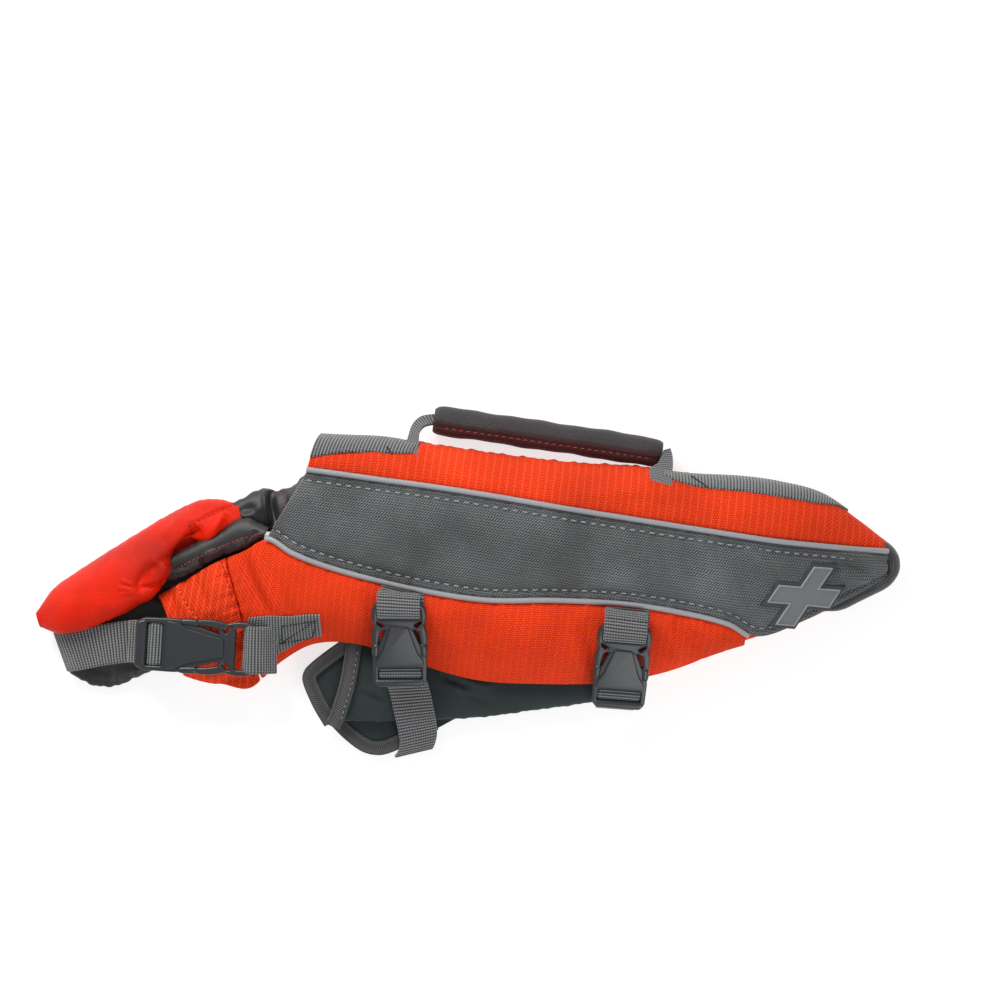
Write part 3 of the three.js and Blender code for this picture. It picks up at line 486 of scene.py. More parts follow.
# %% The seams as a table
SEAMS = {
    "columns": [
        "x", "spine_y", "spine_z", "upper_y", "upper_z",
        "lower_y", "lower_z", "hem_y", "hem_z", "crown",
    ],
    "rows": [
        [-180, 70.0, 12, 52.0, 40, -32.0, 14, -66.0, 7, 6],
        [-165, 71.0, 12, 52.3, 41, -20.0, 18, -76.0, 7, 9],
        [-150, 72.0, 12, 52.6, 42, -8.0, 22, -79.5, 7, 12],
        [-135, 72.6, 12, 52.8, 42, 0.5, 26, -80.0, 7, 9],
        [-119, 73.0, 12, 52.9, 42, 10.8, 35, -79.0, 8, 6],
        [-103, 73.4, 12, 52.9, 42, 4.7, 38, -60.5, 12, 8],
        [-85, 75.0, 12, 53.0, 42, 0.2, 38, -47.2, 18, 9],
        [-60, 77.6, 12, 53.0, 42, -3.4, 38, -43.6, 20, 9],
        [-30, 77.4, 12, 53.2, 42, -6.2, 38, -48.9, 21, 9],
        [10, 77.3, 12, 52.6, 42, -6.6, 38, -54.6, 21, 9],
        [50, 78.4, 12, 51.4, 42, -1.2, 38, -51.6, 21, 9],
        [90, 81.6, 12, 50.7, 41, 2.2, 38, -45.0, 21, 9],
        [120, 81.2, 12, 50.2, 40, 2.0, 37, -34.5, 22, 7],
        [150, 83.2, 12, 49.8, 39, -0.9, 33, -18.4, 24, 4],
        [170, 83.2, 12, 49.7, 37, -7.2, 27, -8.8, 26, 1],
        [196, 80.0, 11, 50.6, 32, 5.6, 22, 4.9, 21.5, 0],
        [220, 68.4, 10, 51.6, 25, 21.6, 18, 21.0, 17.5, 0],
        [242, 56.2, 8, 52.4, 17, 36.0, 14, 35.4, 13.5, 0],
        [252, 52.0, 8, 50.0, 14, 42.0, 12, 41.4, 11.5, 0],
    ],
}
NECK = {"spine": -97, "upper": -101.5, "lower": -119.5}
TAIL = {"spine": 238, "upper": 239, "lower": 242}
FLANK_FRONT = (-143, -113)
FLANK_TAIL = (161, 163)
WING_FRONT = (-180.5, -160.5)
SHOULDER = 0.8
SIDE_CROWN = 3.0


def read(table, name, at):
    """A smooth curve through one column of a table, read at any places of its first column."""
    rows = np.array(table["rows"], float)
    place = rows[:, 0]
    column = rows[:, table["columns"].index(name)]
    last = len(rows) - 1
    i = np.searchsorted(place[1:-1], at)
    before, after = np.maximum(i - 1, 0), np.minimum(i + 2, last)
    span = place[i + 1] - place[i]
    t = (at - place[i]) / span
    slope_start = (column[i + 1] - column[before]) / (place[i + 1] - place[before]) * span
    slope_end = (column[after] - column[i]) / (place[after] - place[i]) * span
    return (
        (2 * t**3 - 3 * t**2 + 1) * column[i]
        + (t**3 - 2 * t**2 + t) * slope_start
        + (3 * t**2 - 2 * t**3) * column[i + 1]
        + (t**3 - t**2) * slope_end
    )


def numbered(columns, rows):
    """A table whose rows are counted from 0, where "at" is the count."""
    return {"columns": ["at", *columns], "rows": [[k, *row] for k, row in enumerate(rows)]}


def path_through(places, at):
    """Points on a smooth path through places counted from 0."""
    table = numbered("xyz", places)
    return np.stack([read(table, axis, at) for axis in "xyz"], -1)


print("body sections:", len(SEAMS["rows"]))

# %% The body's surface
def body_point(x, across):
    """A place on the body: across is 0 at the spine, 1 and 2 at the piped seams, 3 at the hem."""
    x, across = np.broadcast_arrays(np.asarray(x, float), np.asarray(across, float))
    seam = {name: read(SEAMS, name, x) for name in SEAMS["columns"][1:]}
    angle = np.clip(across, 0, 1) * math.pi / 2
    back_y = mix(seam["upper_y"], seam["spine_y"], np.cos(angle) ** SHOULDER)
    back_z = mix(seam["spine_z"], seam["upper_z"], np.sin(angle) ** SHOULDER)
    t = across - 1
    side_y = mix(seam["upper_y"], seam["lower_y"], t)
    side_z = mix(seam["upper_z"], seam["lower_z"], t) + SIDE_CROWN * (1 - (2 * t - 1) ** 4)
    t = across - 2
    flank_y = mix(seam["lower_y"], seam["hem_y"], t)
    flank_z = mix(seam["lower_z"], seam["hem_z"], t) + seam["crown"] * (1 - (2 * t - 1) ** 2)
    y = np.where(across <= 1, back_y, np.where(across <= 2, side_y, flank_y))
    z = np.where(across <= 1, back_z, np.where(across <= 2, side_z, flank_z))
    return np.stack([x, y, z], -1)


def body_normal(x, across):
    x, across = np.broadcast_arrays(np.asarray(x, float), np.asarray(across, float))
    step = 0.03
    along = body_point(x + 1, across) - body_point(x - 1, across)
    over = body_point(x, np.minimum(across + step, 3)) - body_point(x, np.maximum(across - step, 0))
    return unit(np.cross(over, along))


def on_body(x, across, lift):
    return body_point(x, across) + body_normal(x, across) * np.asarray(lift)[..., None]


print("spine to hem at the middle:", np.round(body_point(10, np.array([0, 1, 2, 3]))[:, 1], 1))

# %% [markdown]
# A panel is a closed wall: an outer grid of points, an inner one, and a border between them. A
# flat map of the cloth goes with it, in real sizes, so that threads keep their pitch on a slope.

# %% Meshes from grids of points
def finish_mesh(name, points, faces, material, flat=None, crisp=55):
    """A smooth mesh object with its faces outwards and the flat map of its cloth."""
    faces = np.asarray(faces)
    a, b, c, d = (points[faces[:, k]] for k in range(4))
    volume = np.sum(a * np.cross(b, c)) + np.sum(a * np.cross(c, d))
    if volume < 0:
        faces = faces[:, ::-1]
    mesh = bpy.data.meshes.new(name)
    mesh.from_pydata(metres(points).tolist(), [], faces.tolist())
    mesh.materials.append(material)
    if flat is not None:
        corner = np.empty(len(mesh.loops), np.int32)
        mesh.loops.foreach_get("vertex_index", corner)
        layer = mesh.uv_layers.new(name="cut")
        layer.data.foreach_set("uv", (flat[corner] * MM).astype(np.float32).ravel())
    mesh.shade_smooth()
    mesh.set_sharp_from_angle(angle=math.radians(crisp))
    return add_object(name, mesh)


def wall_mesh(name, outer, inner, flat, material, crisp=55):
    """A closed wall between two grids of points."""
    rows, columns = outer.shape[:2]
    count = rows * columns
    index = np.arange(count).reshape(rows, columns)
    quads = np.stack([index[:-1, :-1], index[1:, :-1], index[1:, 1:], index[:-1, 1:]], -1).reshape(-1, 4)
    ring = np.concatenate([index[:, 0], index[-1, 1:], index[-2::-1, -1], index[0, -2:0:-1]])
    after = np.roll(ring, -1)
    border = np.stack([after, ring, ring + count, after + count], -1)
    faces = np.concatenate([quads, quads[:, ::-1] + count, border])
    points = np.concatenate([outer.reshape(-1, 3), inner.reshape(-1, 3)])
    flat = np.concatenate([flat.reshape(-1, 2)] * 2)
    return finish_mesh(name, points, faces, material, flat, crisp)


def tube_mesh(name, rings, flat, material, crisp=55):
    """A closed tube through rings of points, with a small face at each end."""
    count, sides = rings.shape[:2]
    index = np.arange(count * sides).reshape(count, sides)
    turned = np.roll(index, -1, axis=1)
    quads = np.stack([index[:-1], turned[:-1], turned[1:], index[1:]], -1).reshape(-1, 4)
    points = np.concatenate([rings.reshape(-1, 3), rings[[0, -1]].mean(axis=1)])
    flat = np.concatenate([flat.reshape(-1, 2), flat[[0, -1]].mean(axis=1)])
    hubs = (count * sides, count * sides + 1)
    half = np.arange(0, sides, 2)
    caps = []
    for ring, hub, order in ((index[0], hubs[0], -1), (index[-1], hubs[1], 1)):
        fan = np.stack([ring[half], ring[half + 1], ring[(half + 2) % sides], np.full(len(half), hub)], -1)
        caps.append(fan[:, ::order])
    return finish_mesh(name, points, np.concatenate([quads, *caps]), material, flat, crisp)


def spread(points):
    """How far each point of a grid lies along and across the cloth."""
    along = np.linalg.norm(np.diff(points, axis=0), axis=-1)
    over = np.linalg.norm(np.diff(points, axis=1), axis=-1)
    along = np.concatenate([np.zeros((1, along.shape[1])), np.cumsum(along, axis=0)])
    over = np.concatenate([np.zeros((over.shape[0], 1)), np.cumsum(over, axis=1)], axis=1)
    return along, over


def evaluated_mesh(made):
    """What an object shows, with its curve or its modifiers worked out, as a plain mesh."""
    bpy.context.view_layer.update()
    shown = made.evaluated_get(bpy.context.evaluated_depsgraph_get())
    return bpy.data.meshes.new_from_object(shown)


print("mesh makers ready")

# %% [markdown]
# Cloth turns down where it goes into a seam, puckers beside the stitches, and carries long soft
# creases. Each of these is a height over the plain surface, so they can be added together.

# %% Edges, puckers and creases
def rolled(distance, radius):
    """How far cloth turns down at a distance from its edge."""
    near = np.clip(1 - distance / radius, 0, 1)
    return radius * (1 - np.sqrt(1 - near**2))


def puckers(along, distance, depth, reach, seed):
    """Uneven waves beside a row of stitches, gone at some distance from it."""
    start = np.random.default_rng(seed).uniform(0, 2 * np.pi, 4)
    waves = ((6.1, 1.0), (9.7, 0.8), (15.5, 0.9), (3.9, 0.4))
    total = sum(part * np.sin(2 * np.pi * along / size + s) for (size, part), s in zip(waves, start))
    return depth * total / 2 * np.exp(-distance / reach)


def creases(points, table):
    """Soft troughs and ridges seen from above, each along an arc that fades at its ends.
    A row holds where it starts and ends, how far it bends, its width and its height."""
    plan = points[..., :2]
    total = np.zeros(plan.shape[:-1])
    for x0, y0, x1, y1, bend, width, height in table:
        start, end = np.array([x0, y0], float), np.array([x1, y1], float)
        line = end - start
        side = np.array([-line[1], line[0]]) / np.linalg.norm(line)
        t = np.clip(((plan - start) @ line) / (line @ line), 0, 1)
        on_arc = start + t[..., None] * line + (4 * bend * t * (1 - t))[..., None] * side
        distance = np.linalg.norm(plan - on_arc, axis=-1)
        total += height * np.exp(-((distance / width) ** 2)) * np.sin(np.pi * t) ** 0.7
    return total


print("relief makers ready")

# %% [markdown]
# The body's panels come next. The back and side are foam under cloth, 8 mm thick and thinner at
# the tail. The flank has its hem edge turned in over thinner foam. The wing that goes on round the
# chest is cloth over a thin sheet of foam.

# %% Foam panels of the upper half
def foam(x):
    return mix(FOAM, TAIL_FOAM, smooth(x, 190, 240))


EDGE_ROLL = 1.8


def body_panel(name, across, start, end, steps, wall, relief, material):
    """A piece that lies on the body between two lines along it."""
    u, v = ease(steps[0], 0.3)[:, None], ease(steps[1])[None, :]
    place = mix(across[0], across[1], v) + 0 * u
    x = mix(mix(start[0], start[1], v), mix(end[0], end[1], v), u)
    base, normal = body_point(x, place), body_normal(x, place)
    along, over = spread(base)
    to_side = np.minimum(over, over[:, -1:] - over)
    to_end = np.minimum(along, along[-1:, :] - along)
    height = -rolled(to_side, EDGE_ROLL) - rolled(to_end, EDGE_ROLL)
    height = height + relief(SimpleNamespace(x=x, base=base, along=along, over=over, to_side=to_side))
    outer = base + normal * height[..., None]
    inner = base - normal * wall(x, v + 0 * u)[..., None]
    flat = np.stack([x, over], -1)
    return wall_mesh(name, outer, inner, flat, material)


BACK_CREASES = [
    [-92, 66, -60, 60, 1.5, 3.0, -0.8],
    [-70, 70, -52, 58, 1.0, 2.5, 0.7],
    [-30, 66, 30, 62, 1.0, 4.0, -0.5],
    [60, 62, 104, 66, 1.5, 3.0, 0.8],
    [96, 74, 108, 56, 1.0, 2.5, -0.7],
    [150, 60, 196, 66, -1.0, 3.0, -0.6],
]
SIDE_CREASES = [
    [-108, 40, -104, 18, 1.0, 5.0, 0.7],
    [-96, 44, -88, 14, 1.0, 4.0, 0.8],
    [-74, 42, -66, 8, 2.0, 6.0, -0.8],
    [-44, 40, -36, 4, 2.0, 5.0, 1.2],
    [-20, 38, 2, 6, 2.0, 6.0, -1.1],
    [0, 38, 20, 4, 2.0, 5.0, 1.0],
    [30, 42, 62, 10, 3.0, 6.0, 1.3],
    [48, 44, 80, 14, 3.0, 5.0, -1.3],
    [78, 46, 104, 10, 2.0, 5.0, 1.4],
    [98, 46, 118, 12, 2.0, 4.0, -1.0],
    [112, 46, 132, 8, 2.0, 5.0, -1.3],
    [124, 46, 150, 4, 2.0, 5.0, 1.3],
    [140, 46, 168, 2, 2.0, 5.0, -1.2],
    [154, 46, 172, 24, 2.0, 4.0, 1.3],
    [206, 47, 238, 44, 2.0, 3.0, 1.5],
    [204, 41, 234, 38, 2.0, 3.0, -1.7],
    [210, 35, 232, 34, 1.0, 2.5, 1.2],
    [206, 22, 222, 30, 1.0, 3.0, -0.9],
]
FLANK_CREASES = [
    [-134, 2, -112, -34, -2.0, 3.6, -2.2],
    [-126, 4, -102, -36, -2.0, 4.0, 1.4],
    [-112, -6, -100, -50, 2.0, 4.0, -1.0],
    [-62, -10, -50, -36, 1.0, 4.0, -1.0],
    [-14, -14, 4, -48, 2.0, 5.0, 1.2],
    [8, -16, 26, -48, 2.0, 5.0, -1.0],
    [60, -8, 72, -42, -2.0, 4.0, 1.4],
    [70, -8, 78, -40, -1.0, 3.5, -1.4],
    [112, -4, 126, -30, 2.0, 3.5, 1.6],
    [118, -2, 140, -24, 2.0, 3.0, -1.6],
    [128, -2, 152, -16, 1.0, 3.0, 1.3],
]


def tail_fade(x):
    """A share that falls from 1 to 0 where the panels begin to close up towards the tail."""
    return 1 - smooth(x, 135, 160)


def back_relief(cloth):
    far = cloth.over[:, -1:] - cloth.over
    return puckers(cloth.x, far, 0.15, 5, 1) + 0.6 * smooth(far, 0, 9) + creases(cloth.base, BACK_CREASES)


TOPSTITCH = 5.8


def topstitch_dip(distance):
    """The line that a row of stitches pulls into padded cloth."""
    pulled = -1.3 * np.exp(-(((distance - TOPSTITCH) / 1.5) ** 2))
    return pulled + smooth(distance, TOPSTITCH, TOPSTITCH + 7)


def side_relief(cloth):
    seam = puckers(cloth.x, cloth.to_side, 0.55, 8, 2) * tail_fade(cloth.x)
    return seam + topstitch_dip(cloth.to_side) + 2.0 * creases(cloth.base, SIDE_CREASES)


def flank_relief(cloth):
    start = puckers(cloth.over, cloth.along, 0.7, 6, 13)
    hem = puckers(cloth.x, cloth.over, 0.55, 6, 3) * tail_fade(cloth.x)
    return start + hem + 0.7 * smooth(cloth.over, 0, 8) + 1.2 * creases(cloth.base, FLANK_CREASES)


back = body_panel(
    "back_cloth", (0, 1 - EDGE), (NECK["spine"], NECK["upper"]), (TAIL["spine"], TAIL["upper"]),
    (360, 48), lambda x, v: foam(x), back_relief, ripstop_back,
)
side = body_panel(
    "side_cloth", (1 + EDGE, 2 - EDGE), (NECK["upper"], NECK["lower"]), (TAIL["upper"], TAIL["lower"]),
    (380, 70), lambda x, v: foam(x), side_relief, oxford,
)
flank = body_panel(
    "flank_cloth", (2 + EDGE, 3), FLANK_FRONT, FLANK_TAIL,
    (360, 64), lambda x, v: mix(foam(x), HEM_WALL, v**3), flank_relief, ripstop_flank,
)


def dress(piece, slot, *nodes):
    """Makes a piece ride with the jacket and stand for the solids under it."""
    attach(piece, "root")
    if nodes:
        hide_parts(*nodes)
    print(piece.name, len(piece.data.polygons), "faces")


PANELS = [
    [back, "ripstop", "back_panel"],
    [side, "oxford", "side_panel"],
    [flank, "ripstop", "flank_panel"],
]
for piece, slot, node in PANELS:
    dress(piece, slot, node)

# %% [markdown]
# The chest wing is softer than the rest. Its seam to the flank is puckered, a second seam crosses
# it where the float is sewn on, and the strap pulls deep folds into the cloth below.

# %% Chest wing
WING_CREASES = [
    [-147, 0, -128, -34, -1.0, 1.3, -1.0],
    [-152, -8, -146, -38, 1.0, 4.0, 1.3],
    [-159, -19, -148, -36, 1.0, 2.6, -0.9],
    [-169, -25.5, -154.5, -41, -1.0, 1.1, -0.9],
    [-172, -18, -163, -36, 1.0, 3.0, 1.0],
    [-176, -24, -166, -48, 1.0, 2.4, -1.5],
    [-150, -66, -122, -60, -3.0, 4.0, -1.8],
    [-145.5, -76, -121.3, -67, 2.0, 3.0, 1.7],
    [-140, -81, -118, -73, 2.0, 2.2, -1.4],
    [-124, -64, -117.6, -77, 0.6, 1.6, -1.8],
    [-160, -70, -134, -74, -2.0, 4.0, 1.4],
]


WING_GAP = 0.7


def wing_relief(cloth):
    to_end = cloth.along[-1:, :] - cloth.along
    seams = puckers(cloth.over, to_end, 0.9, 6, 4) + puckers(cloth.x, cloth.over, 0.6, 6, 5)
    return seams + creases(cloth.base, WING_CREASES)


wing = body_panel(
    "wing_cloth", (2 + EDGE, 3), WING_FRONT, [x - WING_GAP for x in FLANK_FRONT],
    (140, 160), lambda x, v: HEM_WALL + 0 * x, wing_relief, ripstop_wing,
)
dress(wing, "ripstop", "chest_wing")

# %% [markdown]
# ## Piping and stitches
# Piping is a cord wrapped in reflective tape and caught in the seam. It is a tube along the seam's
# own curve. The stitches beside it repeat without end, so Geometry Nodes set one small stitch at
# each step of a line and turn it the way the line runs.

# %% Tubes
def tube_rings(path, breadth, height, sides, power=1.0, relief=None):
    """Rings round a path, with the flat map of the cloth on them. A low power squares the section."""
    heading = unit(np.gradient(path, axis=0))
    across = unit(np.cross([0, 0, 1], heading))
    rise = np.cross(heading, across)
    angle = 2 * np.pi * np.arange(sides) / sides - np.pi / 2
    cos, sin = (np.sign(w) * np.abs(w) ** power for w in (np.cos(angle), np.sin(angle)))
    along = np.concatenate([[0], np.cumsum(np.linalg.norm(np.diff(path, axis=0), axis=1))])
    breadth, height = (np.broadcast_to(np.asarray(w, float), along.shape) for w in (breadth, height))
    arc = (angle + np.pi / 2) * np.mean(breadth + height) / 2
    flat = np.stack(np.broadcast_arrays(along[:, None], arc[None, :]), -1)
    grow = 1.0 if relief is None else 1 + relief(flat[..., 0], angle[None, :]) / breadth.mean()
    offset = across[:, None] * (breadth[:, None] * cos * grow)[..., None]
    offset = offset + rise[:, None] * (height[:, None] * sin * grow)[..., None]
    return path[:, None] + offset, flat


def piping_cord(name, across, start, end):
    x = np.linspace(start, end, 420)
    path = on_body(x, across, PIPING_RADIUS + 0 * x)
    rings, flat = tube_rings(path, PIPING_FULL, PIPING_FULL, 14)
    return tube_mesh(name, rings, flat, piping_tape)


dress(piping_cord("upper_piping_cord", 1, NECK["upper"], TAIL["upper"] - 1), "piping", "upper_piping")
dress(piping_cord("lower_piping_cord", 2, NECK["lower"], FLANK_TAIL[1]), "piping", "lower_piping")

# %% A stitch row by Geometry Nodes
def stitch_tree():
    tree = bpy.data.node_groups.new("stitch row", "GeometryNodeTree")
    sockets = (
        ("Line", "NodeSocketGeometry", None),
        ("Pitch", "NodeSocketFloat", 0.0056),
        ("Length", "NodeSocketFloat", 0.0029),
        ("Thickness", "NodeSocketFloat", 0.0007),
        ("Slant", "NodeSocketFloat", 0.0),
        ("Thread", "NodeSocketMaterial", None),
    )
    for label, kind, value in sockets:
        socket = tree.interface.new_socket(label, in_out="INPUT", socket_type=kind)
        if value is not None:
            socket.default_value = value
    tree.interface.new_socket("Stitches", in_out="OUTPUT", socket_type="NodeSocketGeometry")
    take = tree.nodes.new("NodeGroupInput").outputs
    line = add_node(tree, "GeometryNodeMeshToCurve", None, {"Mesh": take["Line"]})
    steps = add_node(
        tree, "GeometryNodeResampleCurve", {"mode": "LENGTH"},
        {"Curve": line.outputs[0], "Length": take["Pitch"]},
    )
    ball = add_node(tree, "GeometryNodeMeshUVSphere", None, {"Segments": 6, "Rings": 5, "Radius": 0.5})
    size = add_node(
        tree, "ShaderNodeCombineXYZ", None,
        {"X": take["Length"], "Y": take["Thickness"], "Z": take["Thickness"]},
    )
    heading = tree.nodes.new("GeometryNodeInputTangent")
    turn = add_node(
        tree, "FunctionNodeAlignRotationToVector", {"axis": "X"}, {"Vector": heading.outputs["Tangent"]}
    )
    slant = add_node(tree, "ShaderNodeCombineXYZ", None, {"Z": take["Slant"]})
    slanted = add_node(
        tree, "FunctionNodeRotateRotation", {"rotation_space": "LOCAL"},
        {"Rotation": turn.outputs[0], "Rotate By": slant.outputs[0]},
    )
    placed = add_node(
        tree, "GeometryNodeInstanceOnPoints", None,
        {
            "Points": steps.outputs[0],
            "Instance": ball.outputs[0],
            "Rotation": slanted.outputs[0],
            "Scale": size.outputs[0],
        },
    )
    real = add_node(tree, "GeometryNodeRealizeInstances", None, {"Geometry": placed.outputs[0]})
    soft = add_node(tree, "GeometryNodeSetShadeSmooth", None, {"Geometry": real.outputs[0]})
    paint = add_node(
        tree, "GeometryNodeSetMaterial", None, {"Geometry": soft.outputs[0], "Material": take["Thread"]}
    )
    give = tree.nodes.new("NodeGroupOutput")
    tree.links.new(paint.outputs[0], give.inputs[0])
    return tree


STITCH_ROW = stitch_tree()


def stitches(name, lines, thread, pitch=5.6, length=4.2, thickness=1.3, slant=0.0):
    """Rows of stitches along lines of points."""
    mesh = bpy.data.meshes.new(name)
    points, edges = [], []
    for line in lines:
        first = len(points)
        points += metres(line).tolist()
        edges += [(first + k, first + k + 1) for k in range(len(line) - 1)]
    mesh.from_pydata(points, edges, [])
    made = add_object(name, mesh)
    row = made.modifiers.new("stitch row", "NODES")
    row.node_group = STITCH_ROW
    values = {"Pitch": pitch * MM, "Length": length * MM, "Thickness": thickness * MM}
    values["Slant"] = slant
    values["Thread"] = thread
    for item in STITCH_ROW.interface.items_tree:
        if item.in_out == "INPUT" and item.name in values:
            row[item.identifier] = values[item.name]
    result = evaluated_mesh(made)
    made.modifiers.clear()
    made.data = result
    return made


def laid_on(piece, plan, lift=0.15):
    """A line given from above, dropped onto a piece."""
    mesh = piece.data
    tree = BVHTree.FromPolygons([v.co for v in mesh.vertices], [f.vertices for f in mesh.polygons])
    plan = np.array(plan, float)
    run = np.concatenate([[0], np.cumsum(np.linalg.norm(np.diff(plan, axis=0), axis=1))])
    at = np.arange(0, run[-1], 0.5)
    line = []
    for x, y in zip(np.interp(at, run, plan[:, 0]), np.interp(at, run, plan[:, 1])):
        place, normal = tree.ray_cast(Vector(metres([x, y, 150])), Vector((0, 0, -1)))[:2]
        if place is not None:
            line.append(np.array(place + normal * lift * MM) / MM + CENTRE)
    return np.array(line)


print("stitch row takes", [item.name for item in STITCH_ROW.interface.items_tree])

# %% [markdown]
# Both edges of the grey panel are topstitched. The rows run 5.8 mm inside the piping, in the dip
# that they pull into the foam.

# %% Topstitching
ROW_DIP = 0.75
BESIDE_SEAM = 2.4


def side_row(from_lower, x):
    """A line on the side panel at the topstitch's distance from one of its seams."""
    ends = body_point(x, 1 + 0 * x), body_point(x, 2 + 0 * x)
    share = TOPSTITCH / np.linalg.norm(ends[0] - ends[1], axis=-1)
    return on_body(x, 2 - share if from_lower else 1 + share, 0 * x - ROW_DIP)


top_rows = [side_row(False, np.linspace(-99, 233, 300)), side_row(True, np.linspace(-113, 186, 300))]
dress(stitches("topstitching", top_rows, thread_grey), "oxford")
seam_share = np.linspace(0.03, 0.97, 40)
seam_x = mix(FLANK_FRONT[0], FLANK_FRONT[1], seam_share) - BESIDE_SEAM
WING_SEAM = body_point(seam_x, 2 + seam_share)[:, :2]
FLOAT_SEAM = [[-168.8, -25.5], [-162, -33], [-154.5, -40.9]]
dress(stitches("wing_stitches", [laid_on(wing, WING_SEAM)], thread_shade, 3.2, 2.0, 0.8), "ripstop")
dress(stitches("float_stitches", [laid_on(wing, FLOAT_SEAM)], thread_orange, 3.4, 2.4, 0.8), "ripstop")

# %% [markdown]
# ## Straps
# Every strap is the same webbing, 25 mm wide. Its ribs are real ridges in the mesh, so they still
# show where the strap is seen edge on, for example where it folds round a buckle's bar.

# %% Webbing from a face
RIB_HEIGHT = 0.16
STRAP_STEP = 0.36
STRAP_ROLL = 0.6


def ribbon(name, face, length, material=webbing, wall=WEBBING, out=(0, 0, 1), rib=RIB_HEIGHT, columns=20):
    """A strap whose outer face is given by face(u, v), u along it and v across it."""
    rows = max(int(length / STRAP_STEP), 8)
    u, v = np.linspace(0, 1, rows)[:, None], ease(columns)[None, :]
    points = face(u + 0 * v, v + 0 * u)
    normal = unit(np.cross(np.gradient(points, axis=0), np.gradient(points, axis=1)))
    normal = normal * np.sign((normal @ np.array(out, float)).sum())
    along, over = spread(points)
    run = np.broadcast_to(along.mean(axis=1, keepdims=True), over.shape)
    to_side = np.minimum(over, over[:, -1:] - over)
    height = rib * np.cos(2 * np.pi * run / RIB_PITCH) * smooth(to_side, 0, 1.2)
    height = height - rolled(to_side, STRAP_ROLL)
    outer = points + normal * height[..., None]
    inner = points - normal * wall
    return wall_mesh(name, outer, inner, np.stack([run, over], -1), material)


def strip_face(rows):
    """The face of a free strap: each row is a place on one edge and the place across from it."""

    def face(u, v):
        at = u * (len(rows) - 1)
        one, other = (path_through([row[k : k + 3] for row in rows], at) for k in (0, 3))
        return mix(one, other, v[..., None])

    return face


def lane_face(rows, start, end, lift):
    """A face along the body whose two sides are read from a table of x, near side and far side."""
    table = {"columns": ["x", "near", "far"], "rows": rows}

    def face(u, v):
        x = mix(mix(start[0], start[1], v), mix(end[0], end[1], v), u)
        near, far = (read(table, name, np.clip(x, rows[0][0], rows[-1][0])) for name in ("near", "far"))
        return on_body(x, mix(near, far, v), lift + 0 * x)

    return face


def strap(name, node, face, length, **shape):
    """A strap of webbing that stands for one solid."""
    made = ribbon(name, face, length, **shape)
    dress(made, "webbing", node)
    return made


ON_TOP = GAP + WEBBING
print("webbing", WEBBING_WIDTH, "mm wide with a rib every", RIB_PITCH, "mm")

# %% [markdown]
# The webbing on the spine runs along the body, so its ribs lie across it and it is one straight
# band. The girth straps run down the flank instead: their faces are given with length down the
# body, and so are the ribs.

# %% Spine webbing and the upper straps
SPINE_FRONT = [[-101, 0.12, 0.84], [-92, 0.13, 0.76], [-79, 0.15, 0.67], [-53, 0.2, 0.62], [-42, 0.3, 0.56]]
SPINE_REAR = [
    [102, 0.24, 0.36], [110, 0.18, 0.44], [128, 0.1, 0.5], [146, 0.03, 0.5], [180, 0.01, 0.5],
    [194, 0.01, 0.46], [204, 0.01, 0.3], [214, 0.01, 0.05],
]
front_lane = lane_face(SPINE_FRONT, (-97.5, -100.6), (-42, -44), ON_TOP)
rear_lane = lane_face(SPINE_REAR, (102, 103), (213, 212), ON_TOP)
spine_front = strap("spine_band_front", "spine_webbing_front", front_lane, 58)
spine_rear = strap("spine_band_rear", "spine_webbing_rear", rear_lane, 110)
REAR_CROSSING = [[118.6, 80], [127.5, 75.2]]
FRONT_CROSSING = [[-58, 72], [-50, 64.5]]
crossings = [laid_on(spine_rear, REAR_CROSSING), laid_on(spine_front, FRONT_CROSSING)]
dress(stitches("spine_stitches", crossings, thread_dark, 1.5, 1.5, 1.3), "webbing")


STRAP_FROM = 2.06


def down_face(middle, slant, to):
    """The face of a strap that runs down the flank, from beside the piped seam."""
    half = WEBBING_WIDTH / 2

    def face(u, v):
        x = mix(mix(middle - half, middle + slant - half, u), mix(middle + half, middle + slant + half, u), v)
        return on_body(x, mix(STRAP_FROM, to, u), ON_TOP + 0 * x)

    return face


strap("front_strap_top", "girth_strap_front", down_face(-37.5, 2, 2.34), 14)
strap("rear_strap_top", "girth_strap_rear", down_face(91.5, 1, 2.46), 22)

# %% Lower straps and the chest strap
FRONT_LOWER = [
    [-45.5, -56, 29.9, -21, -52.5, 30.3],
    [-38.5, -67, 22.5, -15.4, -62.5, 22.5],
    [-33, -82, 18, -10.5, -76, 18],
    [-28.4, -96, 12, -7.2, -88, 12],
    [-28, -103.5, 8.6, -7.2, -95.5, 8.6],
    [-29.8, -108, 5.2, -8, -99.5, 5.2],
]
REAR_LOWER = [
    [81.4, -48, 29.4, 105, -46.5, 29.4],
    [81.6, -56, 26.8, 105, -54.5, 26.8],
    [82, -60.5, 21, 105, -59, 21],
    [82.5, -60, 15, 104.6, -58.5, 15],
]
CHEST_LEFT = [
    [-239.4, -62.4, 3.5, -227.8, -84.6, 3.5],
    [-238.4, -62, 10, -226.8, -84.2, 10],
    [-231, -60, 14.5, -220, -82, 14.5],
    [-210, -53, 18, -203, -76, 18],
    [-190, -47.5, 20.5, -186, -71.5, 20.5],
    [-172, -45.5, 21.4, -170.5, -70, 21.4],
]
strap("front_strap_lower", "girth_strap_front_lower", strip_face(FRONT_LOWER), 62)
strap("rear_strap_lower", "girth_strap_rear_lower", strip_face(REAR_LOWER), 22, out=(0, -1, 1))
strap("chest_strap_inner", "chest_strap_left", strip_face(CHEST_LEFT), 74)
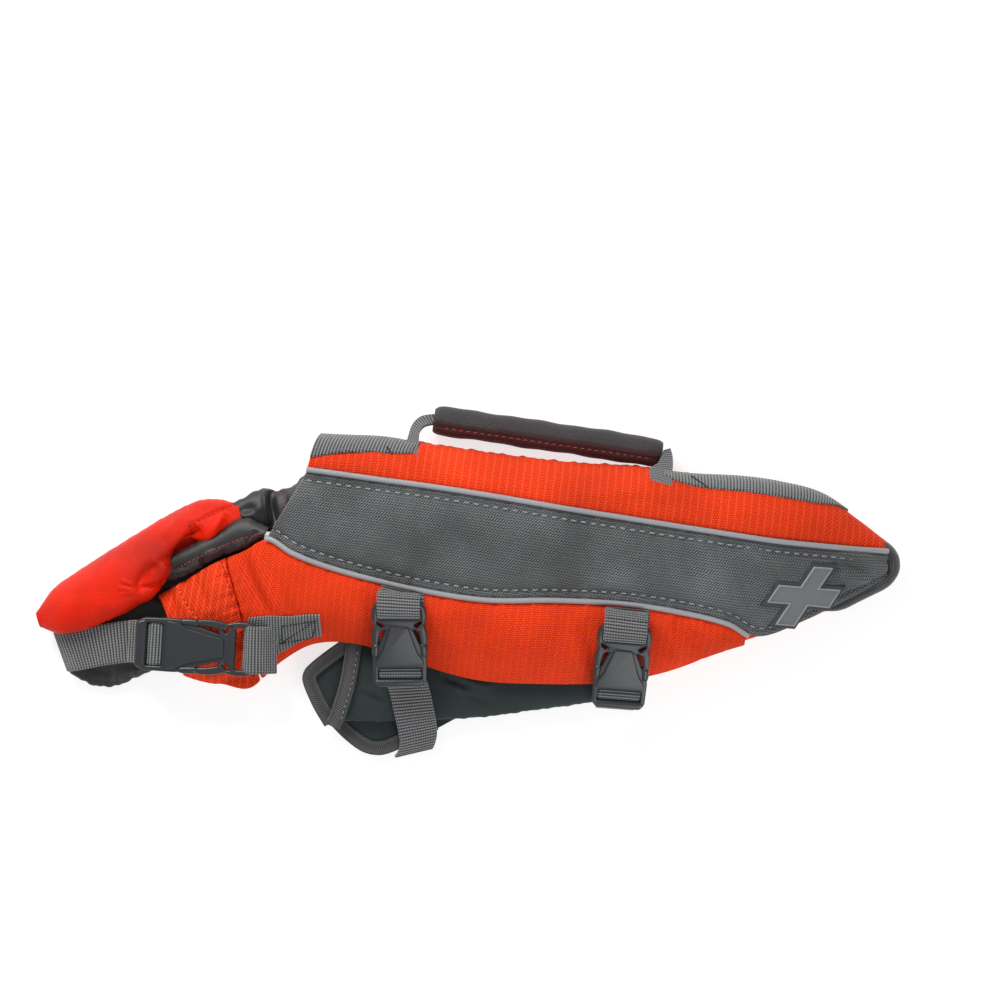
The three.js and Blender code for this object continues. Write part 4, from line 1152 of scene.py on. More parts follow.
CHEST_LANE = [[-126, 2.5, 2.84], [-113, 2.52, 2.86], [-101, 2.57, 2.88], [-90, 2.59, 2.87], [-80, 2.6, 2.87]]
chest_right_face = lane_face(CHEST_LANE, (-124, -122), (-83, -81), ON_TOP + 0.6)
chest_right = strap("chest_strap_outer", "chest_strap_right", chest_right_face, 46)
BOX_STITCH = [
    [[-104, -49], [-85.6, -43], [-85, -32.5], [-104, -38.5], [-104, -49]],
    [[-104, -49], [-85, -32.5]],
]
boxes = [laid_on(chest_right, side) for side in BOX_STITCH]
dress(stitches("chest_stitches", boxes, thread_dark, 2.4, 2.1, 1.0), "webbing")

# %% [markdown]
# ## Buckles
# A side release buckle is two mouldings. The strap's frame slides its two springy arms into a
# socket, and their rounded ends stand out at its sides. Each part is a flat outline, extruded
# with a rounded edge, and laid at its own height. The chest buckle is the same pattern, longer.

# %% Rounded outlines and moulded parts
WINDOW_TURN = 1.2


def rounded(corners, radius, steps=6):
    """An outline with each corner replaced by a smooth turn."""
    corners = np.array(corners, float)
    points = []
    for k, corner in enumerate(corners):
        before, after = corners[k - 1] - corner, corners[(k + 1) % len(corners)] - corner
        reach = [min(radius, np.linalg.norm(way) * 0.45) for way in (before, after)]
        start, end = (corner + unit(way) * r for way, r in zip((before, after), reach))
        for t in np.linspace(0, 1, steps):
            points.append((1 - t) ** 2 * start + 2 * t * (1 - t) * corner + t**2 * end)
    return np.array(points)


def moulding(outlines, low, high, edge, stretch):
    """The points and faces of a flat moulded part with rounded edges."""
    curve = bpy.data.curves.new("moulding", "CURVE")
    curve.dimensions = "2D"
    curve.fill_mode = "BOTH"
    curve.extrude = (high - low) / 2 - edge
    curve.bevel_depth = edge
    curve.bevel_resolution = 3
    curve.offset = -edge
    for outline in outlines:
        spline = curve.splines.new("POLY")
        spline.points.add(len(outline) - 1)
        spline.use_cyclic_u = True
        for point, (x, y) in zip(spline.points, outline):
            point.co = (x * stretch, y, 0, 1)
    made = add_object("moulding", curve)
    mesh = evaluated_mesh(made)
    mesh.transform(Matrix.Translation((0, 0, (low + high) / 2)))
    bpy.data.objects.remove(made)
    return mesh


def mirrored(half):
    """A whole outline from the half on one side of its middle line, ends in order."""
    return [(x, -y) for x, y in half] + [(x, y) for x, y in reversed(half)]


def both_sides(corners, radius):
    """An outline and its mirror image across the middle line."""
    return [rounded([(x, side * y) for x, y in corners], radius) for side in (1, -1)]


def window(low, high, half):
    return rounded([(low, -half), (low, half), (high, half), (high, -half)], WINDOW_TURN)


print("outline of a window:", len(window(0, 1, 1)), "points")

# %% The parts of a buckle
BUCKLE_REACH = 25.5
MALE_FRAME = [(-25.5, 11.8), (-23.4, 14.6), (-19, 15.8), (-14, 15.2), (-9.5, 12.6), (-8.8, 9.4)]
MALE_ARM = [
    (-13.5, 13.6), (-10, 15.0), (-6, 15.9), (-1.5, 15.8),
    (0.6, 15.0), (0.8, 12.2), (-5, 11.6), (-11, 9.8),
]
MALE_HOLE = [(-14.6, 12.6), (-9.6, 12.0), (-11.8, 8.4)]
SOCKET = [(-10.8, 5.6), (-9.8, 7.6), (5.0, 14.0), (6.4, 15.2), (9.5, 15.5), (22.5, 15.2), (25.5, 12.8)]
SOCKET_FACE = [(-11.3, 5.2), (4.0, 10.2), (9.0, 13.6), (13.0, 14.0)]
LUG = [(-1.0, 11.4), (-0.4, 15.6), (4.6, 16.0), (7.4, 15.4), (7.4, 12.0)]
END_BAR = [(21.0, 14.6), (25.5, 13.0)]
LOOP_BAR = [(-25.5, 11.6), (-24.4, 13.6), (-21.2, 13.8)]


def buckle_parts(stretch):
    """Each half as a list of mouldings, about the buckle's middle plane."""
    frame_lines = [rounded(mirrored(MALE_FRAME), 2.2), window(-21.5, -16.0, 12.0)]
    male = [
        moulding(frame_lines + both_sides(MALE_HOLE, 0.7), -2.6, 2.7, 1.2, stretch),
        moulding([rounded(mirrored(LOOP_BAR), 1.4)], -2.2, 3.2, 1.3, stretch),
    ]
    male += [moulding([arm], -2.4, 2.5, 1.1, stretch) for arm in both_sides(MALE_ARM, 1.6)]
    female = [
        moulding([rounded(mirrored(SOCKET), 1.6), window(14.2, 21.2, 12.4)], -3.7, 2.5, 1.0, stretch),
        moulding([rounded(mirrored(SOCKET_FACE), 1.4)], 0.5, 3.75, 0.8, stretch),
        moulding([rounded(mirrored(END_BAR), 1.6)], -3.7, 3.5, 1.8, stretch),
    ]
    female += [moulding([lug], -3.4, 3.4, 1.7, stretch) for lug in both_sides(LUG, 1.8)]
    return {"male": male, "female": female}


def buckle_space(male_end, female_end):
    """The directions, the middle and the stretch of a buckle laid between two points in space."""
    male_end, female_end = np.array(male_end), np.array(female_end)
    along = female_end - male_end
    stretch = np.linalg.norm(along) / (2 * BUCKLE_REACH)
    along = unit(along)
    across = unit(np.cross([0, 0, 1], along))
    turn = np.stack([along, across, np.cross(along, across)], axis=1)
    return turn, (male_end + female_end) / 2, stretch


def buckle(name, ends):
    """Both halves of a fastened buckle."""
    turn, middle, stretch = buckle_space(*ends)
    for half, meshes in buckle_parts(stretch).items():
        points, faces = [], []
        for mesh in meshes:
            first = len(points)
            places = np.array([v.co for v in mesh.vertices])
            points += (places @ turn.T + middle).tolist()
            faces += [tuple(first + k for k in face.vertices) for face in mesh.polygons]
        joined = bpy.data.meshes.new(f"{name}_{half}_moulding")
        joined.from_pydata(metres(points).tolist(), [], faces)
        joined.materials.append(nylon)
        whole = bmesh.new()
        whole.from_mesh(joined)
        bmesh.ops.remove_doubles(whole, verts=whole.verts, dist=0.00001)
        bmesh.ops.recalc_face_normals(whole, faces=whole.faces)
        whole.to_mesh(joined)
        whole.free()
        joined.shade_smooth()
        joined.set_sharp_from_angle(angle=math.radians(40))
        dress(add_object(joined.name, joined), "buckle", f"{name}_{half}")


FRONT_BUCKLE = ((-38.6, -14, 49.4), (-31.5, -62.5, 33.4))
REAR_BUCKLE = ((91, -9.5, 49.6), (94, -57.5, 32.2))
CHEST_BUCKLE = ((-115.5, -53.9, 31.8), (-186.2, -59.6, 31.2))
buckle("front_buckle", FRONT_BUCKLE)
buckle("rear_buckle", REAR_BUCKLE)
buckle("chest_buckle", CHEST_BUCKLE)

# %% [markdown]
# The webbing climbs from the cloth, folds over the bar of the strap's frame and goes down through
# its window. At the other end it fills the socket's window before it goes on under the last bar.
# Each of these bends is a side view in the buckle's own space, swept across the strap's width.

# %% Webbing through the buckles
FRONT_WRAP = [
    [-28.3, -7.2], [-30, -3.4], [-29.2, 1.4], [-26.2, 4.9], [-22.8, 5.6], [-19.6, 4.9],
    [-16.8, 3.6], [-15.2, 0.6],
]
REAR_WRAP = [
    [-31.4, -7.8], [-32, -4], [-30.4, 1], [-26.8, 4.8], [-23, 5.6], [-19.6, 4.9],
    [-16.8, 3.6], [-15.2, 0.6],
]
CHEST_WRAP = [
    [-32.5, -6], [-30.6, -2.6], [-28.2, 2.2], [-25.6, 4.8], [-22.8, 5.0], [-20.6, 3.2],
    [-19.4, 0.4], [-19.0, -2.4],
]
WINDOW_FILL = [[13.4, -2.4], [14.8, 0.4], [17.5, 1.7], [20.2, 0.9], [21.6, -2.2]]
CHEST_FILL = [
    [13.4, -2.4], [14.8, 0.4], [17.4, 1.7], [20, 0.9], [21.4, -2.6], [23.4, -5.6],
    [26.5, -7], [30, -9.4],
]


def buckle_webbing(name, ends, rows, length, half=12.2, skew=0.0):
    """Webbing that follows a side view given in a buckle's own space."""
    turn, middle, stretch = buckle_space(*ends)
    table = numbered("xz", rows)

    def face(u, v):
        at = u * (len(rows) - 1)
        x = read(table, "x", at) * stretch + skew * (v - 0.5) * (1 - u)
        places = np.stack([x, mix(-half, half, v), read(table, "z", at) + 0 * v], -1)
        return places @ turn.T + middle

    made = ribbon(name, face, length)
    dress(made, "webbing")
    return made


front_wrap = buckle_webbing("front_strap_wrap", FRONT_BUCKLE, FRONT_WRAP, 27, skew=3.0)
rear_wrap = buckle_webbing("rear_strap_wrap", REAR_BUCKLE, REAR_WRAP, 28, skew=2.0)
buckle_webbing("chest_strap_wrap", CHEST_BUCKLE, CHEST_WRAP, 30, half=13.6, skew=-2.0)
buckle_webbing("front_window_webbing", FRONT_BUCKLE, WINDOW_FILL, 12)
buckle_webbing("rear_window_webbing", REAR_BUCKLE, WINDOW_FILL, 12)
buckle_webbing("chest_window_webbing", CHEST_BUCKLE, CHEST_FILL, 34)
wrap_rows = [
    laid_on(front_wrap, [[-49.5, -12.6], [-28, -11]]),
    laid_on(rear_wrap, [[80.5, -6.6], [102, -5.8]]),
]
dress(stitches("wrap_stitches", wrap_rows, thread_dark, 2.2, 1.7, 1.0), "webbing")

# %% [markdown]
# ## Stuffed and folded cloth
# The float is a satin bag round a slab of foam. Its two edges give its place, and a crown and a
# depth give its fullness. The linings and the band are the same kind of form, only flatter.

# %% Pads between two edges
ABOVE_TABLE = 0.05


def pad_rings(rows, stations, sides):
    """Rings of a stuffed piece, with the flat map of its cloth.
    A row holds a place on one edge, the place across from it, the crown and the depth."""
    table = numbered(["ax", "ay", "az", "bx", "by", "bz", "crown", "depth"], rows)
    at = mix(0, len(rows) - 1, ease(stations, 0.35))
    value = {name: read(table, name, at) for name in table["columns"][1:]}
    edge_a, edge_b = (np.stack([value[side + axis] for axis in "xyz"], -1) for side in "ab")
    angle = np.pi * np.arange(2 * sides) / sides
    t = (1 - np.cos(angle)) / 2
    rings = mix(edge_a[:, None], edge_b[:, None], t[None, :, None])
    fullness = np.where(np.sin(angle) > 0, value["crown"][:, None], value["depth"][:, None])
    rings[..., 2] += fullness * np.sin(angle)
    rings[..., 2] = np.maximum(rings[..., 2], 0)
    middle = (edge_a + edge_b) / 2
    along = np.concatenate([[0], np.cumsum(np.linalg.norm(np.diff(middle, axis=0), axis=1))])
    width = np.linalg.norm(edge_a - edge_b, axis=1)
    flat = np.stack([np.broadcast_to(along[:, None], rings.shape[:2]), t * width[:, None]], -1)
    return rings, flat


def push(rings, height):
    """Moves each point of a closed tube off its surface by its own height."""
    over = np.roll(rings, -1, axis=1) - np.roll(rings, 1, axis=1)
    normal = unit(np.cross(np.gradient(rings, axis=0), over))
    outward = rings - rings.mean(axis=1, keepdims=True)
    normal = normal * np.sign((normal * outward).sum())
    moved = rings + normal * height[..., None]
    moved[..., 2] = np.maximum(moved[..., 2], np.minimum(rings[..., 2], ABOVE_TABLE))
    return moved


CHIN = [
    [-249.6, -52, 13, -246, -60, 13, 2, 3],
    [-242, -36.5, 8, -233, -61.8, 17, 9, 12],
    [-228, -23.2, 7, -219, -57.5, 18, 14, 14],
    [-212.5, -9.8, 7, -205, -49.5, 17, 16, 14],
    [-197.2, 3, 7, -193.5, -42, 17, 16, 14],
    [-181.3, 15.8, 7, -179, -28, 18, 14, 13],
    [-165.6, 26, 8, -167, -4, 17, 12, 12],
    [-153.5, 28.6, 9, -151.4, 7, 17, 10, 10],
    [-141, 27.6, 11, -136, 16.6, 16, 6, 6],
]
FACING = [
    [-177, -10, 19, -174.5, -22.5, 16, 4, 4],
    [-166.5, -1.5, 19, -163.5, -17.2, 18, 6, 6],
    [-149, 11, 19, -147, -4.5, 20, 6, 6],
    [-136.5, 20, 20, -135, 1.8, 22, 5, 6],
    [-120.5, 17, 22, -123.5, 9.8, 24, 4, 5],
]
FAR_WING = [
    [-237, -48, 4, -237, -60, 4, 2, 4],
    [-228, -40, 5, -228.6, -82.5, 5, 5, 5],
    [-218, -30, 5, -218, -88.6, 5, 6, 5],
    [-207, -20, 5, -207, -90.6, 5, 6, 5],
    [-193, -10, 5, -193, -86.4, 5, 5, 5],
    [-180, -2, 5, -180, -77, 5, 3.6, 5],
    [-160, 5, 5, -160, -70, 5, 6, 5],
    [-135, 10, 5, -135, -64, 5, 6, 5],
    [-112, 12, 5, -112, -56, 5, 5, 5],
]
NECK_LINING = [
    [-147, 26, 12, -143, 16, 16, 3, 4],
    [-129, 38.3, 10, -129, 15, 14, 6, 9],
    [-120.6, 38.5, 10, -119.5, 14, 14, 6, 9],
    [-112, 42, 10, -112, 16, 14, 7, 9],
    [-103, 51.5, 14, -107, 26, 20, 5, 4],
    [-90, 58, 19, -94, 33, 21, 4, 4],
    [-80, 56, 20, -82, 35, 21, 4, 4],
]


def stuffed(name, rows, stations, sides, folds, material, pucker=0.4, seed=6, crisp=70):
    """A pad with folds given from above and puckers along its two edges."""
    rings, flat = pad_rings(rows, stations, sides)
    angle = np.pi * np.arange(2 * sides) / sides
    to_edge = np.abs(np.sin(angle))[None, :] * 14
    height = puckers(flat[..., 0], to_edge + 0 * flat[..., 0], pucker, 5, seed)
    height = height + creases(rings, folds) * (np.sin(angle) > -0.2)
    return tube_mesh(name, push(rings, height), flat, material, crisp)


CHIN_FOLDS = [
    [-190.5, -30, -181.7, -13, 1.6, 3.0, -3.6],
    [-183.5, -18.5, -169.8, -1.9, 1.0, 2.0, -1.2],
    [-176, -13, -160.5, 11, -1.0, 4.2, -7.5],
    [-166, 2, -158, 12, 1.0, 2.4, -1.6],
    [-160.5, 0.5, -146.6, 22.2, -1.0, 2.8, 3.2],
    [-180, 2, -164, 20, 1.0, 4.0, 1.4],
    [-165.9, 11.4, -141.6, 28.1, 1.0, 0.9, -1.0],
    [-165.9, 11.4, -162.4, -1.4, 0.4, 0.8, -0.8],
    [-190.2, -29.5, -170, -20.2, -0.6, 1.4, -2.6],
    [-190, -36, -172, -28, -1.0, 3.4, 1.0],
    [-190.5, -27.5, -201, -24.8, 0.4, 1.1, 0.9],
    [-190.5, -29.5, -202, -29.5, 0.4, 0.9, 0.8],
    [-190.5, -31, -200, -34, -0.4, 1.0, 0.8],
    [-190.5, -28.4, -200, -27.3, 0.0, 0.7, -0.6],
    [-238, -50, -202, -40, 3.0, 6.0, 0.7],
    [-226, -34, -196, -10, -2.0, 7.0, 0.8],
]
FACING_FOLDS = [
    [-174, -18, -165, -11.6, 0.6, 1.2, -1.5],
    [-173.5, -20.9, -162, -15.9, 0.6, 1.1, -1.4],
    [-173.8, -19.4, -163, -13.7, 0.4, 0.9, 1.0],
    [-158.2, -5, -154.2, -14.2, 0.6, 1.3, -2.2],
    [-156, -6, -146, -1, 1.0, 1.6, 1.3],
    [-150, -4, -138, 4, -1.0, 2.0, -1.2],
    [-144, -2, -130, 8, 1.0, 1.8, 1.2],
    [-132, 6, -126, 14, 0.6, 1.3, -1.3],
]
LINING_FOLDS = [
    [-126.8, 38.3, -120.3, 18, -1.0, 1.5, 2.8],
    [-123.4, 38, -116.6, 18, -1.0, 2.4, -3.4],
    [-140, 24, -128, 24, 1.5, 3.0, -1.6],
    [-139, 20, -126, 30, -2.0, 2.2, 1.4],
    [-112, 40, -106, 24, 1.0, 2.6, 1.6],
    [-104, 46, -100, 30, 1.0, 2.0, -2.0],
]
FAR_FOLDS = [
    [-226, -76, -180, -82, -3.0, 2.4, -1.4],
    [-214, -84, -170, -70, -3.0, 3.0, 1.5],
    [-196, -30, -168, -34, 2.0, 4.0, -2.5],
]
chin = stuffed("chin_float_cover", CHIN, 260, 90, CHIN_FOLDS, satin, 0.16, 6)
dress(chin, "satin", "chin_float")
facing = stuffed("neck_facing_cloth", FACING, 150, 40, FACING_FOLDS, lining, 0.5, 7)
dress(facing, "lining", "neck_facing")
neck = stuffed("neck_lining_cloth", NECK_LINING, 140, 40, LINING_FOLDS, lining, 0.5, 8)
dress(neck, "lining", "neck_lining")
dress(stuffed("far_wing_cloth", FAR_WING, 140, 40, FAR_FOLDS, lining, 0.5, 9), "lining", "far_wing")

# %% Threads on the float and round the neck
CHIN_SEAM = [[-165.9, 11.4], [-154, 19.5], [-141.8, 27.6]]
CHIN_BRANCH = [[-165.9, 11.4], [-163.6, 5], [-162.4, -1.4]]
FACING_EDGE = [[-172, -15.6], [-158, -6], [-146, 2], [-134, 8.5], [-124, 12.6]]
LINING_EDGE = [[-117.7, 38.6], [-113.6, 31.5], [-109.8, 24.5]]
chin_lines = [laid_on(chin, CHIN_SEAM), laid_on(chin, CHIN_BRANCH)]
dress(stitches("chin_stitches", chin_lines, thread_shade, 3.0, 2.2, 0.8), "satin")
neck_lines = [laid_on(facing, FACING_EDGE), laid_on(neck, LINING_EDGE)]
dress(stitches("neck_stitches", neck_lines, thread_red, 2.8, 1.9, 0.7), "lining")

# %% [markdown]
# The right half of the body lies flat on the table under everything else. Its section is drawn
# once for each place along the body, from the spine round to the floor and back under the hem.

# %% Right half and folded layers
UNDER_WALL = 9.2
UNDER_LIP = 0.6
UNDER_BULGE = 1.1
FLOOR_IN = 7.0


def right_rings(steps, sides):
    u = np.linspace(0, 1, steps)
    x = mix(-101.5, 239, u)
    spine, hem = read(SEAMS, "spine_y", x), read(SEAMS, "hem_y", x) + 1
    room = (spine - hem) / 4
    height = np.minimum(UNDER_WALL, 0.45 * read(SEAMS, "hem_z", np.maximum(x, -60)))
    lip = read(SEAMS, "spine_z", x) - UNDER_LIP
    foot, shelf = np.minimum(FLOOR_IN, room), np.minimum(12, room)
    middle = (spine + hem) / 2
    section = [
        (spine, lip), (spine + UNDER_BULGE, lip * 0.6), (spine - 1, lip * 0.22), (spine - foot, 0 * x),
        (middle, 0 * x), (hem + foot, 0 * x), (hem + 0.8, height * 0.25), (hem, height * 0.6),
        (hem + 1.2, height * 0.85), (hem + shelf, height), (middle, height),
        (spine - shelf, height), (spine - np.minimum(8.4, room * 0.8), lip),
    ]
    corners = np.stack([np.stack(pair, -1) for pair in section], axis=1)
    count = corners.shape[1]
    place = np.arange(sides) * count / sides
    k, t = place.astype(int), (place % 1)[None, :, None]
    ring = mix(corners[:, k], corners[:, (k + 1) % count], smooth(t, 0, 1) * 0.4 + t * 0.6)
    share = (spine[:, None] - ring[..., 0]) / (spine - hem)[:, None]
    ends = mix(mix(4, -1, u)[:, None], mix(-3, 2, u)[:, None], share)
    points = np.stack([x[:, None] + ends, ring[..., 0], np.maximum(ring[..., 1], 0)], -1)
    return points, np.stack([points[..., 0], points[..., 1] + points[..., 2]], -1)


rings, flat = right_rings(220, 104)
spine_side = (rings[..., 1] - rings[..., 1].mean(axis=1, keepdims=True)) > 0
clear_of_floor = smooth(rings[..., 2], 0.5, 4)
height = puckers(rings[..., 0], 0 * rings[..., 0], 0.5, 6, 10) * clear_of_floor * spine_side
right = tube_mesh("right_half_cloth", push(rings, height), flat, ripstop_back)
dress(right, "ripstop", "right_side")

LAYER_TOPS = [0.42, 0.7, 1, 1.33, 1.66, 2, 2.3, 2.55]
LAYER_POINTS = 57
RIM_POINTS = 11
LAYER_FROM = 12.4
LAYER_GAP = 0.6


def layer_rings(steps):
    x = np.linspace(-84, 190, steps)
    reach = mix(mix(2.8, 2.93, smooth(x, 90, 104)), 1.9, smooth(x, 138, 160))
    room = mix(0.8, 2.6, smooth(x, 120, 138))
    rows = []
    count = len(LAYER_TOPS)
    for place, end, below in zip(x, reach, room):
        tops = [across * min(1, end / 2.8) for across in LAYER_TOPS]
        across = np.interp(np.linspace(0, count, LAYER_POINTS), np.arange(count + 1), [*tops, end])
        top = on_body(place + 0 * across, across, -foam(place) - below + 0 * across)
        base = top.copy()
        base[:, 2] = UNDER_WALL + LAYER_GAP
        base[0, 2] = LAYER_FROM
        rim = mix(top[-1], base[-1], np.linspace(0, 1, RIM_POINTS + 2)[1:-1, None])
        rim[:, 1] -= 0.8 * np.abs(np.sin(np.linspace(0, 3 * np.pi, RIM_POINTS)))
        # The ends are closed over pairs of sides, so a ring has an even number of points.
        rows.append(np.concatenate([top[1:], rim, base[::-1]]))
    points = np.array(rows)
    return points, np.stack([points[..., 0], points[..., 1] + points[..., 2]], -1)


points, flat = layer_rings(140)
layers = tube_mesh("folded_lining", points, flat, lining)
dress(layers, "lining", "folded_layers")

# %% [markdown]
# ## Belly band
# The band is neoprene faced with jersey. It folds under the hem, and its end is turned back and
# bound with ribbed tape, which makes the V at its left.

# %% Neoprene
BAND = [
    [-66, -35, 10, -68, -90.5, 10, 5, 6.05],
    [-32, -40, 10, -32.4, -86, 10, 5, 6.05],
    [16, -45, 10, 16.5, -76.8, 10, 5, 6.05],
    [50, -42, 10, 50.7, -67.2, 10, 5, 6],
    [84, -36, 10, 84.8, -57.7, 9, 5, 6],
    [91, -36, 10, 91.6, -54.6, 9, 2, 3],
]
BAND_FLAP = [
    [-66, -46, 11, -68.4, -91, 11, 2, 2],
    [-77, -53.5, 11, -72.5, -89.2, 11, 2, 2],
    [-84.5, -61.5, 11, -76, -87, 11, 2, 2],
    [-88.6, -70.5, 11, -82.5, -80.5, 11, 1.5, 1.5],
]
BAND_FOLDS = [
    [-12, -49, 22, -58.5, -2.0, 2.2, 2.4],
    [-10, -53.5, 8.5, -59.1, -2.0, 1.7, -2.4],
    [-6, -57, 12, -63, -2.0, 1.6, 2.2],
    [2, -60, 24, -68, -2.0, 2.0, -1.8],
    [11.9, -51, 41.9, -50, -1.0, 2.4, 0.9],
    [-56.3, -68.2, -38.3, -72.6, 1.0, 1.5, 2.0],
    [-57.3, -72, -39, -76.6, 1.0, 1.2, -1.9],
    [-57.3, -77.6, -38.3, -80.7, 1.0, 1.5, 1.1],
    [-52, -60, -44, -66, 1.0, 2.0, -0.9],
    [28, -62, 76, -55, -2.0, 5.0, 0.9],
]
NEOPRENE = 3.6
LOWER_FLAP = [
    [-68, -84, 4.9, -69.4, -93.8, NEOPRENE],
    [-61, -82, 4.9, -61.2, -100.7, NEOPRENE],
    [-52, -80, 4.9, -52.7, -106, NEOPRENE],
    [-43, -79, 4.9, -43, -108, NEOPRENE],
    [-33, -78, 4.9, -33.5, -106, NEOPRENE],
    [-20, -76, 4.8, -20, -97, NEOPRENE],
    [-7, -74, 4.7, -7.6, -87.8, NEOPRENE],
    [8, -70, 4.5, 7, -77, NEOPRENE],
]
band = stuffed("belly_band_cloth", BAND, 220, 44, BAND_FOLDS, neoprene, 0.3, 11)
dress(band, "neoprene", "belly_band")
dress(stuffed("band_flap_cloth", BAND_FLAP, 60, 20, [], neoprene, 0.2, 12), "neoprene", "band_end_flap")
lower_flap = ribbon(
    "band_lower_cloth", strip_face(LOWER_FLAP), 60, neoprene, NEOPRENE - 0.1, rib=0.0, columns=24
)
dress(lower_flap, "neoprene", "band_lower_layer")

# %% [markdown]
# Binding is a tape folded over the raw edge of the neoprene. In section it is a flat loop, so a
# squared tube follows the edge. Its ribs run askew, as on bias tape.

# %% Binding tapes
TAPE = 9.0
TAPE_THICK = 2.2
END_TAPE = [[-62.4, -42, 17.0], [-62.8, -66, 18], [-66, -86, 16], [-68.6, -93.6, 12.6]]
FLAP_TAPE = [
    [-66.5, -45, 15.4], [-75.4, -53.4, 15.6], [-83, -61.4, 15.6], [-85.6, -65.8, 15.6],
    [-84.6, -70.6, 15.6], [-77.6, -82, 15.4], [-70, -92.2, 12.4],
]
LOWER_TAPE_LEVEL = NEOPRENE + 2.6
LOWER_TAPE = [
    [-66.5, -91.8, LOWER_TAPE_LEVEL], [-58.5, -97.8, LOWER_TAPE_LEVEL],
    [-49.5, -102.8, LOWER_TAPE_LEVEL], [-42, -104, LOWER_TAPE_LEVEL],
    [-34.5, -101.8, LOWER_TAPE_LEVEL], [-20, -92.4, LOWER_TAPE_LEVEL],
    [-9, -84.6, LOWER_TAPE_LEVEL],
]
BIAS_PITCH = 1.5


def bias_ribs(along, angle):
    return 0.03 * np.cos(2 * np.pi * (along + 3.0 * np.sin(angle)) / BIAS_PITCH)


def bound_edge(name, node, rows, width):
    path = path_through(rows, np.linspace(0, len(rows) - 1, 220))
    path[:, 2] -= TAPE_THICK / 2
    rings, flat = tube_rings(path, width / 2, TAPE_THICK / 2, 36, power=0.4, relief=bias_ribs)
    made = tube_mesh(name, rings, flat, binding)
    dress(made, "binding", node)
    return made


end_tape = bound_edge("band_end_tape", "band_end_binding", END_TAPE, TAPE)
tape_row = laid_on(end_tape, [[-59.6, -49], [-60, -66], [-63.6, -88]])
dress(stitches("tape_stitches", [tape_row], thread_grey, 3.4, 2.2, 0.6), "binding")
bound_edge("band_flap_tape", "band_flap_binding", FLAP_TAPE, TAPE - 1)
bound_edge("band_lower_tape", "band_lower_binding", LOWER_TAPE, TAPE - 1)

TAIL_PATH = [
    [207, 13.6, 9.5], [214, 17, 9.8], [224, 24, 9.8], [232, 29.4, 9.6], [239.4, 34.6, 9.4], [243, 39.4, 9],
    [244.2, 44, 9], [243, 49.4, 9], [239.4, 53.4, 9.5], [234, 56.2, 10.5],
]
at = np.linspace(0, len(TAIL_PATH) - 1, 220)
narrowing = 0.25 + 0.75 * smooth(at, 0, 1.6)
tail_height = 8.2 * (0.5 + 0.5 * narrowing)
rings, flat = tube_rings(
    path_through(TAIL_PATH, at), 4.1 * narrowing, tail_height, 40, power=0.8, relief=bias_ribs
)
dress(tube_mesh("tail_tape", rings, flat, binding), "binding", "tail_binding")

# %% [markdown]
# ## Handle
# The handle is webbing inside a padded sleeve of dark cloth, and a row of stitches closes it
# lengthwise. Its side towards the jacket is painted maroon: painted shade with the jacket's orange
# reflected in it.

# %% Sleeve and feet
SLEEVE_RADIUS = 8.6
SLEEVE_HEIGHT = SLEEVE_RADIUS * 0.9
# How far across the handle the painted shade and reflection reaches.
PAINTED_SHADE_TO = 92.0
SEAM_ANGLE = math.radians(118)
SLEEVE_PATH = [
    [-34.6, 92.4], [-31, 92.4], [-10, 92.6], [15, 92.3], [40, 92.2],
    [65, 92], [88, 91.6], [97.5, 91.4], [100.8, 91.4],
]
sleeve_cloth = plain_weave("sleeve", linear(74, 68, 70), linear(20, 17, 19), 1.2, 0.7, 0.3, skew=0.8)
# The second sleeve cloth is painted shade and painted orange reflection for the sleeve's underside.
shade_and_reflection_cloth = plain_weave("sleeve painted shade and reflection", linear(70, 20, 22), linear(24, 5, 7), 1.2, 0.7, 0.3, skew=0.8)
at = np.linspace(0, len(SLEEVE_PATH) - 1, 240)
sleeve_path = path_through([[x, y, SLEEVE_HEIGHT] for x, y in SLEEVE_PATH], at)
run = sleeve_path[:, 0] - sleeve_path[0, 0]
to_end = np.minimum(run, run[-1] - run)
closing = 1 - 0.22 * np.exp(-to_end / 2.0)


def sleeve_wrinkles(along, angle):
    waves = 0.25 * np.sin(along / 7.3 + 2 * angle) + 0.18 * np.sin(along / 3.1 - angle)
    seam = -0.7 * np.exp(-(((angle - SEAM_ANGLE) / 0.12) ** 2))
    return waves + seam


rings, flat = tube_rings(
    sleeve_path, SLEEVE_RADIUS * closing, SLEEVE_HEIGHT * closing, 60, relief=sleeve_wrinkles
)
sleeve = tube_mesh("handle_sleeve_cloth", rings, flat, sleeve_cloth)
sleeve.data.materials.append(shade_and_reflection_cloth)
# Faces on the jacket's side of the sleeve, clear of the table, take the painted shade and reflection.
for face in sleeve.data.polygons:
    if face.center.y / MM < PAINTED_SHADE_TO - CENTRE[1] and face.center.z / MM > 3:
        face.material_index = 1
dress(sleeve, "sleeve", "handle_sleeve")
sleeve_row = laid_on(sleeve, [[-26, 88.2], [20, 88], [92, 87.4]])
dress(stitches("sleeve_stitches", [sleeve_row], thread_red, 4.2, 3.0, 0.7), "sleeve")

